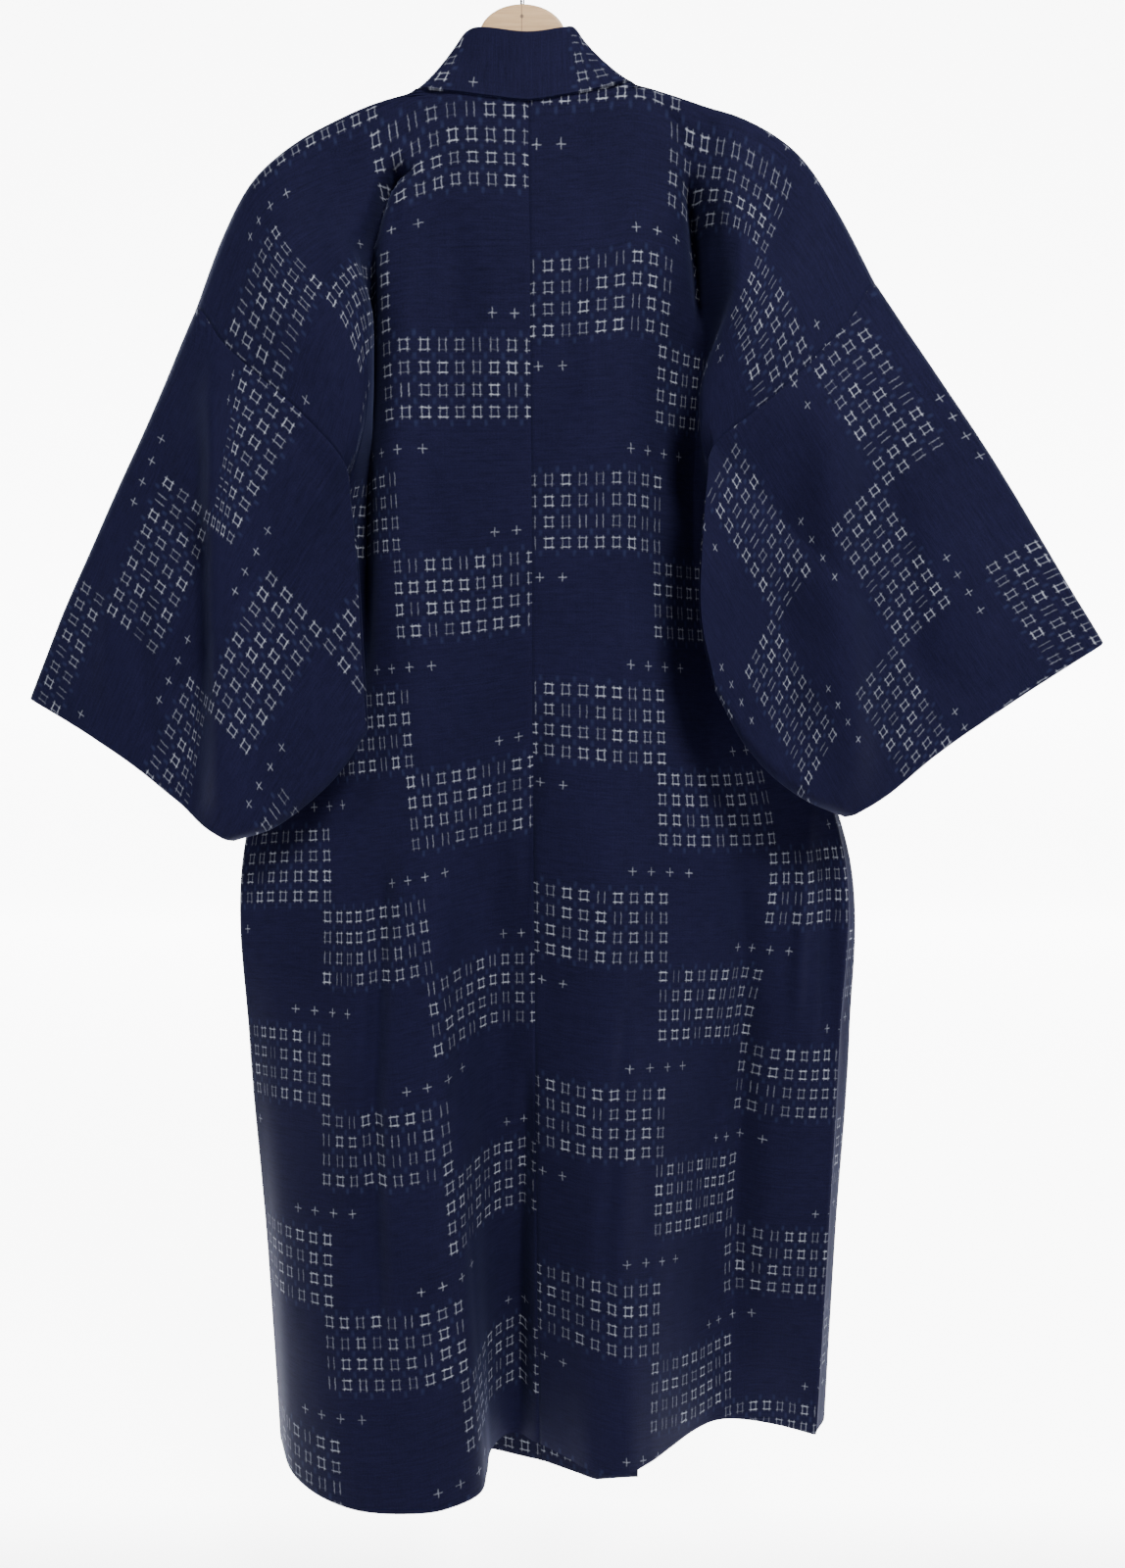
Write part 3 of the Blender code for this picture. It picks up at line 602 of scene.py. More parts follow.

# %% [markdown]
# Creases are drawn where the photograph shows them. Each row says how far the
# crease rises towards the viewer (a trough is negative) and how wide it is to each side,
# both in millimetres, and then gives its line of places in the picture. A place on the
# cloth is carried along its sight line to one upright plane, so a crease falls where the
# picture has it, whatever the cloth's depth.

# %% Creases
PICTURE = (1148, 1600)
FOCAL = LENS / view.sensor_width * PICTURE[1]
PLANE_Y = -12.0
CREASES = {
    "body": (
        (-24, 5, ((430, 172), (404, 173), (392, 190), (384, 215), (376, 245), (372, 300))),
        (4, 5, ((450, 174), (428, 177), (420, 190), (412, 215), (406, 240))),
        (-26, 7, ((378, 215), (373, 320), (370, 450), (369, 600), (368, 750))),
        (-5, 6, ((672, 95), (690, 130), (702, 165), (708, 205))),
        (-22, 6, ((700, 172), (706, 200), (711, 230), (716, 290), (720, 340))),
        (-16, 16, ((716, 190), (722, 250), (728, 330), (730, 400))),
        (-30, 44, ((738, 270), (734, 400), (731, 500), (728, 620), (734, 790))),
        (-6, 9, ((775, 150), (760, 200), (745, 260), (730, 330))),
        (-5, 16, ((500, 780), (497, 1000), (505, 1250), (515, 1450))),
        (3, 14, ((452, 760), (446, 1000), (440, 1300), (436, 1480))),
        (-4, 12, ((395, 800), (380, 1000), (372, 1250), (370, 1500))),
        (5, 6, ((826, 790), (820, 900), (815, 985), (812, 1060))),
        (-5, 10, ((770, 830), (768, 1000), (765, 1200), (762, 1450))),
        (-4, 14, ((640, 760), (650, 950), (655, 1200), (650, 1420))),
        (-15, 8, ((540, 1060), (536, 1160), (532, 1280), (531, 1400), (532, 1500))),
        (-8, 8, ((396, 830), (388, 960), (381, 1120), (384, 1280), (392, 1460))),
        (-9, 9, ((748, 790), (757, 930), (757, 1080), (751, 1260), (748, 1420))),
        (-5, 7, ((474, 880), (468, 1020), (463, 1180), (464, 1300))),
        (-9, 10, ((842, 830), (848, 920), (851, 1020), (850, 1140))),
        (-5, 7, ((640, 1000), (632, 1120), (622, 1240), (618, 1380))),
        (-5, 6, ((560, 700), (548, 770), (540, 850), (538, 950))),
        (3, 12, ((610, 240), (606, 330), (600, 450))),
        (-3, 14, ((470, 200), (462, 330), (455, 480))),
        (4, 12, ((420, 230), (415, 330), (408, 470), (400, 620))),
    ),
    "left sleeve": (
        (-9, 8, ((300, 240), (308, 330), (318, 390), (345, 455))),
        (
            9, 10,
            ((240, 215), (228, 300), (222, 400), (222, 500), (217, 600), (222, 700), (228, 840)),
        ),
        (-8, 11, ((212, 400), (206, 500), (205, 640), (208, 760))),
        (-4, 10, ((150, 560), (140, 640), (150, 740), (170, 800))),
        (3, 12, ((128, 560), (112, 650), (105, 730))),
    ),
    "right sleeve": (
        (8, 19, ((838, 380), (845, 500), (856, 620), (866, 740), (868, 830))),
        (-7, 14, ((846, 190), (850, 260), (846, 340), (840, 400))),
        (-4, 14, ((905, 440), (925, 560), (938, 680), (940, 770))),
        (-4, 12, ((790, 500), (798, 600), (806, 700), (815, 790))),
        (3, 14, ((985, 520), (1000, 600), (1003, 690))),
    ),
}
CREASE_END = 0.28
RUMPLE = (
    {"rise": 1.5, "wide": 52, "long": 120},
    {"rise": 0.55, "wide": 24, "long": 46},
)


def on_plane(points):
    """Where each point's sight line meets the upright plane of the garment, as x and z."""
    eye = np.array(EYE) / MM
    share = (PLANE_Y - eye[1]) / (points[..., 1] - eye[1])
    return eye[[0, 2]] + (points[..., [0, 2]] - eye[[0, 2]]) * share[..., None]


def at_pixel(places):
    """The plane's x and z under each place of the picture."""
    eye = np.array(EYE) / MM
    offset = (np.asarray(places, float) - np.array(PICTURE) / 2) / FOCAL
    ahead = math.cos(PITCH) - offset[..., 1] * math.sin(PITCH)
    rise = -offset[..., 1] * math.cos(PITCH) - math.sin(PITCH)
    reach = (PLANE_Y - eye[1]) / ahead
    return np.stack([eye[0] + offset[..., 0] * reach, eye[2] + rise * reach], axis=-1)


def crease_rise(creases, plane):
    """Sum of the creases at places on the plane: a bell across each, faded at its ends."""
    total = np.zeros(plane.shape[:-1])
    for rise, half, places in creases:
        line = at_pixel(places)
        nearest = np.full(total.shape, 1e9)
        place = np.zeros(total.shape)
        for number, (start, end) in enumerate(zip(line[:-1], line[1:])):
            along = end - start
            share = np.clip(((plane - start) @ along) / (along @ along), 0, 1)
            gap = np.linalg.norm(plane - start - share[..., None] * along, axis=-1)
            place = np.where(gap < nearest, (number + share) / (len(line) - 1), place)
            nearest = np.minimum(gap, nearest)
        ends = np.clip(np.minimum(place, 1 - place) / CREASE_END, 0, 1)
        ends = ends * ends * (3 - 2 * ends)
        total += rise * ends * np.exp(-((nearest / half) ** 2))
    return total


def lattice(plane, wide, long, seed):
    """Smooth chance heights between -1 and 1, one for each wide by long cell."""
    heights = np.random.default_rng(seed).uniform(-1, 1, (64, 64))
    place = plane / (wide, long)
    cell = np.floor(place).astype(int)
    t = place - cell
    t = t * t * (3 - 2 * t)
    i, j = cell[..., 0] % 64, cell[..., 1] % 64
    k, m = (i + 1) % 64, (j + 1) % 64
    low = heights[i, j] * (1 - t[..., 0]) + heights[k, j] * t[..., 0]
    high = heights[i, m] * (1 - t[..., 0]) + heights[k, m] * t[..., 0]
    return low * (1 - t[..., 1]) + high * t[..., 1]


def rumple_rise(plane):
    """Sum of a coarse and a fine layer of chance heights."""
    return sum(
        layer["rise"] * lattice(plane, layer["wide"], layer["long"], seed)
        for seed, layer in enumerate(RUMPLE, start=5)
    )


print({name: len(lines) for name, lines in CREASES.items()}, "creases")

# %% [markdown]
# Every cloth piece becomes a thin closed shell: an outer and an inner sheet, half the
# cloth's thickness to each side of the surface, joined round the rim.


# %% Shells
SHARP_ANGLE = 62


def put(name, mesh, material):
    """Object with a finished mesh and one material, at the origin."""
    mesh.materials.append(material)
    made = bpy.data.objects.new(name, mesh)
    bpy.context.scene.collection.objects.link(made)
    return made


def make_mesh(name, points, quads, spots, material):
    """Mesh from arrays in millimetres; spots are each quad corner's place on the cloth."""
    mesh = bpy.data.meshes.new(name)
    mesh.vertices.add(len(points))
    mesh.vertices.foreach_set("co", (points * MM).astype(np.float32).ravel())
    mesh.loops.add(quads.size)
    mesh.loops.foreach_set("vertex_index", quads.astype(np.int32).ravel())
    mesh.polygons.add(len(quads))
    mesh.polygons.foreach_set("loop_start", np.arange(0, quads.size, 4, dtype=np.int32))
    mesh.update(calc_edges=True)
    if spots is not None:
        layer = mesh.uv_layers.new(name="threads")
        layer.data.foreach_set("uv", (spots * MM).astype(np.float32).ravel())
    mesh.validate()
    mesh.shade_smooth()
    mesh.set_sharp_from_angle(angle=math.radians(SHARP_ANGLE))
    return put(name, mesh, material)


def normals(grid, wrap=False):
    """Cross product of the steps down and across, divided by its length."""
    ring = np.concatenate([grid[:, -2:-1], grid, grid[:, 1:2]], axis=1) if wrap else grid
    across = ring[:, 2:] - ring[:, :-2] if wrap else np.gradient(grid, axis=1)
    return unit(np.cross(np.gradient(grid, axis=0), across))


def shell(name, grid, spots, thick=CLOTH, wrap=False):
    """Closed shell on a grid. A wrapped grid's last column lies on its first."""
    rows, columns = grid.shape[:2]
    normal = normals(grid, wrap)
    half = np.broadcast_to(thick, (rows, columns))[..., None] / 2
    sheets = (grid + normal * half, grid - normal * half)
    points = np.concatenate([sheet.reshape(-1, 3) for sheet in sheets])
    count = rows * columns
    index = np.arange(count).reshape(rows, columns)
    corners = [index[:-1, :-1], index[1:, :-1], index[1:, 1:], index[:-1, 1:]]
    outer = np.stack(corners, axis=-1).reshape(-1, 4)
    rims = [index[0], index[-1, ::-1]]
    if not wrap:
        rims += [index[::-1, 0], index[:, -1]]
    walls = [np.stack([r[:-1], r[1:], r[1:] + count, r[:-1] + count], axis=-1) for r in rims]
    quads = np.concatenate([outer, outer[:, ::-1] + count, *walls])
    places = np.concatenate([spots.reshape(-1, 2)] * 2)[quads]
    if wrap:
        seat = index.copy()
        seat[:, -1] = index[:, 0]
        quads = np.concatenate([seat.ravel(), seat.ravel() + count])[quads]
    return make_mesh(name, points, quads, places, COTTON)


print("shells are", CLOTH, "mm thick")

# %% [markdown]
# The strips are cut on the grain, so a place on the cloth is a distance from the centre
# seam and a drop. The pattern was woven before the cloth was sewn, and it drifts a little
# down the strip: the shift table says how far below its even place each part hangs. Edges
# that are sewn roll in by about a millimetre, which draws each seam as a fine dark line.
# CELL_THREADS pairs threads with the cells counted on them in the photograph, because the
# squares aren't evenly spaced. The front takes only FRONT_SHARE of each crease. Beside the
# armhole the creases fade out over the threads of DEEP_UNTIL, so that no sheet pokes through
# another there, and from the drops of DEEP_FREE down they go on to the side.

# %% Body strips
SEAM_COLUMNS = np.array((0, 0.5, 1.1, 2.0, 3.4, 5.5))
BODY_COLUMNS = np.concatenate(
    [SEAM_COLUMNS, np.linspace(9, 331, 114), HALF_WIDTH - SEAM_COLUMNS[::-1]]
)
RIDGE_DROPS = np.array((0.8, 1.7, 2.8, 4.2, 6, 8.5, 11, 13.5))
DOWN_DROPS = np.concatenate([RIDGE_DROPS, np.linspace(16, BODY_LENGTH, 238)])
FRONT_DROPS = np.concatenate([[0.0], RIDGE_DROPS, np.linspace(16, BODY_LENGTH, 112)])
FRONT_SHARE = 0.3
DEEP_UNTIL = (175.0, 215.0)
DEEP_FREE = (300.0, 430.0)
SEAM_ROLL = 1.1
SEAM_ROLL_WIDTH = 1.4
SEAM_FADE = 25.0
SHIFT_LEVELS = (0, 60, 120, 200, 380, 560, 730, 900, 1080, 1152)
SHIFT_THREADS = (0, 60, 120, 175, 290, 340)
SHIFT = {
    "left": (
        (-4, -4, 2, 3, 3, 3),
        (-9, -10, 3, -2, -8, -8),
        (-8, -8, -8, -10, -6, -4),
        (0, -1, -3, -5, 4, 8),
        (0, 5, 7, 8, 20, 26),
        (0, 11, 17, 23, 32, 36),
        (0, 7, 18, 28, 31, 33),
        (0, 6, 14, 22, 29, 31),
        (0, -1, 7, 14, 27, 30),
        (0, -3, 4, 10, 26, 30),
    ),
    "right": (
        (-5, -5, -5, -4, -2, -2),
        (-2, -2, -3, 0, 2, 2),
        (0, 0, -4, -3, 0, 0),
        (0, 0, -5, -10, -8, -6),
        (0, 0, 2, 3, 2, 2),
        (0, 5, 9, 12, 5, 2),
        (0, 4, 8, 12, 14, 14),
        (0, 1, 9, 17, 16, 15),
        (0, 0, 12, 25, 10, 6),
        (0, 0, 13, 27, 9, 5),
    ),
}
CLOTH_START = {"left": (LEFT_SEAM_CELL, 98.5), "right": (0.0, 138.4)}
CELL_THREADS = {
    "left": ((0, 45.5, 76, 122.5, 175, 290, 340), (0, 3, 5, 8, 11.66, 19.5, 22.96)),
    "right": ((0, 45.3, 77, 124, 175, 290, 340), (0, 3, 5, 8, 11.6, 19.6, 23.0)),
}


def rolled(distance):
    """Depth of a sewn edge at a distance from its seam."""
    return SEAM_ROLL * np.exp(-((distance / SEAM_ROLL_WIDTH) ** 2))


def body_face(side, face, drop):
    """One face of a strip: its grid and its places on the cloth."""
    cut = BODY[side]
    start = back_neck_edge(drop) if face == "back" else front_edge(drop)
    across = start[:, None] + BODY_COLUMNS / HALF_WIDTH * (HALF_WIDTH - start[:, None])
    grid = body_points(side, face, drop, across)
    if face == "front" and side == "left":
        share = HEM_EXTRA_AT_CENTRE * (1 - across / HALF_WIDTH)
        grid[..., 2] -= left_hem_extra(drop[:, None], share)
    plane = on_plane(grid)
    inside = 1 if face == "back" else -1
    sewn = rolled(HALF_WIDTH - across)
    centre = (drop > NECK_DROP) if face == "back" else (drop > CENTRE_FRONT_DROP)
    sewn += rolled(across - start[:, None]) * centre[:, None]
    fade = np.clip((HALF_WIDTH - across) / SEAM_FADE, 0, 1)
    narrow = np.clip((DEEP_UNTIL[1] - across) / (DEEP_UNTIL[1] - DEEP_UNTIL[0]), 0, 1)
    free = np.clip((drop - DEEP_FREE[0]) / (DEEP_FREE[1] - DEEP_FREE[0]), 0, 1)[:, None]
    fade = fade * (narrow + (1 - narrow) * free)
    depth = 1.0 if face == "back" else FRONT_SHARE
    rise = crease_rise(CREASES["body"], plane) * fade * depth + rumple_rise(plane)
    rise *= turn(drop, RIDGE_TURN)[:, None]
    grid[..., 1] += inside * sewn - rise
    u_start, v_start = CLOTH_START[side]
    reach = drop if face == "back" else np.zeros_like(drop)
    shift = over(SHIFT_THREADS, down(SHIFT_LEVELS, SHIFT[side], reach), across)
    if face == "front":
        shift *= np.clip(1 - drop / ARMHOLE, 0, 1)[:, None]
    along = (drop if face == "back" else -drop)[:, None] - shift - v_start
    cell = u_start + cut["sign"] * steps(*CELL_THREADS[side], across)
    return grid, np.stack([cell * ACROSS_PITCH, along], axis=-1)


def body_strip(side):
    """The back from its hem up to the shoulder, then the front down to its hem."""
    back, back_spots = body_face(side, "back", DOWN_DROPS[::-1])
    front, front_spots = body_face(side, "front", FRONT_DROPS)
    spots = np.concatenate([back_spots, front_spots])
    return shell(side + "_body_strip", np.concatenate([back, front]), spots)


body_strips = {side: body_strip(side) for side in BODY}
print("body strips of", len(body_strips["left"].data.polygons), "faces each")

# %% [markdown]
# Each overlap panel is sewn to a front's centre edge and lies on the other half, so it is
# the other half's front moved off by a few millimetres.

# %% Overlap panels
OKUMI_DROPS = np.linspace(316, BODY_LENGTH, 170)
OKUMI_COLUMNS = np.linspace(0, 1, 24)


def okumi_width(drop):
    """Width from the centre front: growing evenly beside the collar, then the full width."""
    slanted = OKUMI_AT_COLLAR * (drop - CENTRE_FRONT_DROP) / (COLLAR_END_DROP - CENTRE_FRONT_DROP)
    return np.where(drop > COLLAR_END_DROP, OKUMI_WIDTH, slanted)


def okumi_points(side, drop, outs):
    """Places on the other front, moved off by the overlap's step."""
    left = side == "left"
    grid = body_points("right" if left else "left", "front", drop, outs)
    grid[..., 1] += OVERLAP_STEP if left else -OVERLAP_STEP
    if left:
        reach = (1 - HEM_EXTRA_AT_CENTRE) * np.clip(outs / HEM_EXTRA_RUN, 0, 1)
        grid[..., 2] -= left_hem_extra(drop[:, None], HEM_EXTRA_AT_CENTRE + reach)
    return grid


def overlap_panel(side):
    outs = okumi_width(OKUMI_DROPS)[:, None] * OKUMI_COLUMNS
    grid = okumi_points(side, OKUMI_DROPS, outs)
    plane = on_plane(grid)
    creased = crease_rise(CREASES["body"], plane) * FRONT_SHARE
    grid[..., 1] -= creased + rumple_rise(plane) + rolled(outs)
    spots = np.stack([outs, np.broadcast_to(-OKUMI_DROPS[:, None], outs.shape)], axis=-1)
    return shell(side + "_overlap_panel", grid, spots)


overlap_panels = {side: overlap_panel(side) for side in BODY}
print("overlap panels end", OKUMI_WIDTH, "mm wide")

# %% [markdown]
# A sleeve is one piece folded at its top edge. Each of its two sheets is spanned by four
# edge curves: the fold, the cuff, the rounded bottom and the inner edge, whose upper part
# is sewn to the armhole. Large folds hang from the shoulder and are added last.

# %% Sleeves
SLEEVES = {
    "left": {
        "fold": (
            (-270, 0, -300), (-309, -3, -385), (-350, -6, -470),
            (-385, -8, -545), (-415, -10, -616),
        ),
        "cuff": (
            (-415, -10, -616), (-353, -26, -650), (-308, -36, -680),
            (-270, -44, -712), (-238, -48, -733),
        ),
        "bottom": (
            (-130, -52, -642), (-155, -54, -680), (-178, -54, -702),
            (-206, -52, -722), (-238, -48, -733),
        ),
        "inner": (
            (-144, -38, -426), (-142, -48, -442), (-136, -52, -500),
            (-133, -52, -570), (-130, -52, -642),
        ),
        "folds": (
            {"top": (-240, -290), "bottom": (-245, -760), "half": 26, "rise": 16},
            {"top": (-262, -500), "bottom": (-268, -700), "half": 20, "rise": -14},
            {"top": (-200, -380), "bottom": (-150, -440), "half": 16, "rise": -8},
        ),
    },
    "right": {
        "fold": (
            (290, 0, -280), (340, -3, -350), (392, -6, -425),
            (440, -8, -500), (485, -10, -570),
        ),
        "cuff": (
            (485, -10, -570), (405, -26, -618), (336, -36, -664),
            (297, -44, -694), (264, -48, -713),
        ),
        "bottom": (
            (160, -52, -610), (184, -54, -655), (206, -54, -680),
            (234, -52, -700), (264, -48, -713),
        ),
        "inner": (
            (153, -38, -414), (152, -48, -430), (148, -52, -480),
            (147, -52, -550), (160, -52, -610),
        ),
        "folds": (
            {"top": (238, -330), "bottom": (262, -720), "half": 30, "rise": 14},
            {"top": (262, -320), "bottom": (330, -600), "half": 26, "rise": -8},
        ),
    },
}
ATTACHED_SHARE = 0.46
FOLD_TURN = 5.0
CUFF_OPENING = 22.0
INNER_OPENING = 12.0
INNER_LAP = 5.0
CUFF_LENGTH = 250.0
SLEEVE_HEIGHT = 300.0
INNER_FREE = 220.0
FOLD_FADE = 0.2
HELD_AT_EDGE = 60.0
HOLD_RATE = 4
CREASE_RATE = 5
LAP_RATE = 14
EDGE_SHARES = np.array((0, 0.0015, 0.0035, 0.0065, 0.011))
SLEEVE_LENGTHS = np.concatenate([EDGE_SHARES, np.linspace(0.02, 1, 96)])
SLEEVE_HEIGHTS = np.concatenate([EDGE_SHARES, np.linspace(0.02, 0.98, 100), 1 - EDGE_SHARES[::-1]])


def edge_curve(points, share):
    """Smooth curve through the points, read by its share of the length."""
    points = np.asarray(points, float)
    knots = np.concatenate([[0], np.cumsum(np.linalg.norm(np.diff(points, axis=0), axis=1))])
    return steps(knots / knots[-1], points.T, share).T


def armhole_curve(side, face, share):
    """Inner end of a sheet: the body's armhole edge, then the free edge below it."""
    inner = SLEEVES[side]["inner"]
    drop = ARMHOLE * np.clip(share / ATTACHED_SHARE, 0, 1)
    start = back_neck_edge(drop) if face == "back" else front_edge(drop)
    near = start + ARMHOLE_NEAR / HALF_WIDTH * (HALF_WIDTH - start)
    pair = body_points(side, face, drop, np.stack([np.full_like(near, HALF_WIDTH), near], axis=-1))
    sewn = pair[:, 0] + unit(pair[:, 0] - pair[:, 1]) * SEAM_GAP
    run = np.clip((share - ATTACHED_SHARE) / (1 - ATTACHED_SHARE), 0, 1)
    free = edge_curve(inner, run) + (pair[-1, 0] - np.array(inner[0])) * ((1 - run) ** 2)[:, None]
    aside = SEAM_GAP + (1.0 - INNER_LAP) * np.clip(run * LAP_RATE, 0, 1)
    free[:, 0] += BODY[side]["sign"] * aside
    spread = INNER_OPENING / 2 * (1 if face == "front" else -1)
    free[:, 1] += spread * turn((1 - run) * INNER_FREE, FOLD_TURN) * np.clip(run * 2, 0, 1) ** 2
    return np.where((share <= ATTACHED_SHARE)[:, None], sewn, free)


def cuff_curve(side, face, share):
    """The cuff's edge, moved off the middle by half its opening and rounded in at both ends."""
    line = edge_curve(SLEEVES[side]["cuff"], share)
    spread = CUFF_OPENING / 2 * (1 if face == "front" else -1)
    rounded = turn(share * CUFF_LENGTH, FOLD_TURN)
    line[:, 1] += spread * rounded * turn((1 - share) * CUFF_LENGTH, FOLD_TURN)
    return line


def fold_rise(side, x, z):
    """Rise of the sleeve's large folds, each a bell across a straight line."""
    rise = np.zeros(np.shape(x))
    for fold in SLEEVES[side]["folds"]:
        (x0, z0), (x1, z1) = fold["top"], fold["bottom"]
        share = (z - z0) / (z1 - z0)
        centre = x0 + (x1 - x0) * np.clip(share, 0, 1)
        ends = np.clip(1 + share / FOLD_FADE, 0, 1) * np.clip(1 + (1 - share) / FOLD_FADE, 0, 1)
        rise += fold["rise"] * ends * np.exp(-(((x - centre) / fold["half"]) ** 2))
    return rise


def sleeve_sheet(side, face):
    """Sum of both rulings between the four edges, less the plane of the corners."""
    lengths, heights = SLEEVE_LENGTHS, SLEEVE_HEIGHTS
    fold = edge_curve(SLEEVES[side]["fold"], lengths)
    bottom = edge_curve(SLEEVES[side]["bottom"], lengths)
    inner = armhole_curve(side, face, heights)
    cuff = cuff_curve(side, face, heights)
    fold = fold + (inner[0] - fold[0]) * (1 - lengths[:, None])
    bottom = bottom + (inner[-1] - bottom[0]) * (1 - lengths[:, None])
    a = lengths[:, None, None]
    b = heights[None, :, None]
    sheet = (1 - b) * fold[:, None] + b * bottom[:, None] + (1 - a) * inner[None] + a * cuff[None]
    sheet = sheet - (1 - a) * (1 - b) * inner[0] - (1 - a) * b * inner[-1]
    sheet = sheet - a * (1 - b) * cuff[0] - a * b * cuff[-1]
    hold = np.sin(np.clip(lengths * HOLD_RATE, 0, 1) * math.pi / 2)[:, None]
    hold = hold * turn(heights * SLEEVE_HEIGHT, HELD_AT_EDGE)
    hold = hold * turn((1 - heights) * SLEEVE_HEIGHT, HELD_AT_EDGE)
    plane = on_plane(sheet)
    sheet[..., 1] -= fold_rise(side, sheet[..., 0], sheet[..., 2]) * hold
    free = np.clip(lengths * CREASE_RATE, 0, 1)[:, None]
    sheet[..., 1] -= crease_rise(CREASES[side + " sleeve"], plane) * free + rumple_rise(plane)
    sewn = (heights <= ATTACHED_SHARE) * rolled(lengths[:, None] * HALF_WIDTH)
    sheet[..., 1] += sewn * (1 if face == "back" else -1)
    return sheet


print("a sleeve sheet is", len(SLEEVE_LENGTHS), "by", len(SLEEVE_HEIGHTS))

# %% [markdown]
# The pattern on the sleeves was counted in the photograph: each mark below is the place
# of one square or cross: its cell from the seam, its row and where it is in the picture.
# Cells on the left count down towards the cuff, as on the left strip. A least-squares
# quadratic over the plane turns these few marks into a cell and a row for every place.
# The left sleeve's long ridge hides about three rows in its steep left side.

# %% Sleeve cloth
MARKS = {
    "left": (
        (-1, -3, (262, 408)), (-4, -3, (235, 458)),
        (-1, -1, (299, 440)), (-5, -1, (256, 500)),
        (-8, -1, (234, 550)), (-8, 2, (275, 596)),
        (-11, 2, (246, 645)), (-8, 5, (327, 637)),
        (-15, 5, (255, 745)), (-7, 6, (345, 642)),
        (-8, 6, (339, 661)), (-8, -8, (171, 505)),
        (-16, -8, (115, 632)), (-16, -7, (134, 644)),
        (-16, -10, (87, 602)), (-23, -10, (39, 712)),
        (-16, -9, (104, 614)), (-16, -2, (200, 691)),
        (-23, -2, (156, 795)), (-16, 8, (299, 810)),
        (-18, 8, (275, 836)), (-6.1, 0.65, (276, 534)),
        (-8.95, 0.65, (247, 580)), (-10.2, 0.65, (239, 605)),
        (-6.1, -9.35, (166, 440)), (-8.95, -9.35, (147, 486)),
        (-10.2, -9.35, (139, 510)), (-14.1, -3.35, (189, 642)),
        (-16.95, -3.35, (170, 689)), (-14.1, 6.65, (280, 770)),
        (-18.2, 6.65, (240, 837)),
    ),
    "right": (
        (0, 0, (876, 327)), (8, 0, (953, 450)),
        (8, 3, (901, 488)), (0, 10, (747, 462)),
        (8, 10, (830, 577)), (8, 13, (796, 617)),
        (8, 4, (890, 508)), (16, 4, (970, 622)),
        (16, 7, (919, 660)), (16, 14, (857, 753)),
        (16, 17, (822, 797)), (16, -1, (1048, 552)),
        (16, 1, (1018, 576)), (16, 8, (902, 667)),
        (24, 8, (971, 760)), (22.5, -1, (1117, 650)),
    ),
}
HIDDEN_ROWS = 3.0
HIDDEN_AT = {"top": (240, 300), "low": (215, 620), "wide": 4.0, "from": -215.0, "to": -330.0}
DAMPING = 0.05


def quadratic(plane, middle):
    """Terms 1, x, z, xz, xx and zz, in decimetres from the middle."""
    x, z = (plane[..., 0] - middle[0]) / 100, (plane[..., 1] - middle[1]) / 100
    return np.stack([np.ones_like(x), x, z, x * z, x * x, z * z], axis=-1)


def hidden_rows(side, plane):
    """Rows swallowed by the left sleeve's ridge at places to the left of it."""
    if side == "right":
        return np.zeros(plane.shape[:-1])
    top, low = at_pixel(HIDDEN_AT["top"]), at_pixel(HIDDEN_AT["low"])
    ridge = top[0] + (low[0] - top[0]) * (plane[..., 1] - top[1]) / (low[1] - top[1])
    past = 1 / (1 + np.exp((plane[..., 0] - ridge) / HIDDEN_AT["wide"]))
    down_here = (plane[..., 1] - HIDDEN_AT["from"]) / (HIDDEN_AT["to"] - HIDDEN_AT["from"])
    return HIDDEN_ROWS * past * np.clip(down_here, 0, 1)


def sleeve_chart(side):
    """Function from the plane to the cell and row of the cloth there."""
    marks = MARKS[side]
    places = at_pixel([at for cell, row, at in marks])
    cells = np.array([cell for cell, row, at in marks], float) + CLOTH_START[side][0]
    rows = np.array([row for cell, row, at in marks]) + hidden_rows(side, places)
    middle = places.mean(axis=0)
    basis = quadratic(places, middle)
    damp = np.diag([0, 0, 0, DAMPING, DAMPING, DAMPING])
    solve = np.linalg.solve(basis.T @ basis + damp, basis.T)
    miss = [float(np.abs(basis @ (solve @ v) - v).max()) for v in (cells, rows)]
    print(side, "sleeve chart misses its marks by at most", np.round(miss, 2), "cells and rows")

    def chart(plane):
        at = quadratic(plane, middle)
        return at @ (solve @ cells), at @ (solve @ rows) - hidden_rows(side, plane)

    return chart


def sleeve(side):
    """Both sheets as one ring round the fold; the front's rows go on from the fold's."""
    back, front = sleeve_sheet(side, "back"), sleeve_sheet(side, "front")
    chart = sleeve_chart(side)
    cell, row = chart(on_plane(back))
    front_cell, front_row = chart(on_plane(front))
    front_row = 2 * row[:, :1] - front_row
    grid = np.concatenate([back[:, ::-1], front[:, 1:]], axis=1)
    grid[:, -1] = grid[:, 0]
    across = np.concatenate([cell[:, ::-1], front_cell[:, 1:]], axis=1) * ACROSS_PITCH
    along = np.concatenate([row[:, ::-1], front_row[:, 1:]], axis=1) * ALONG_PITCH
    return shell(side + "_sleeve", grid, np.stack([across, along], axis=-1), wrap=True)


sleeves = {side: sleeve(side) for side in SLEEVES}
print("sleeves of", len(sleeves["left"].data.polygons), "faces each")

# %% [markdown]
# The collar is one folded band. Its seam runs round the neck and down both fronts to the
# overlap panels, and the band stands up from it, leaning in more at the shoulders.

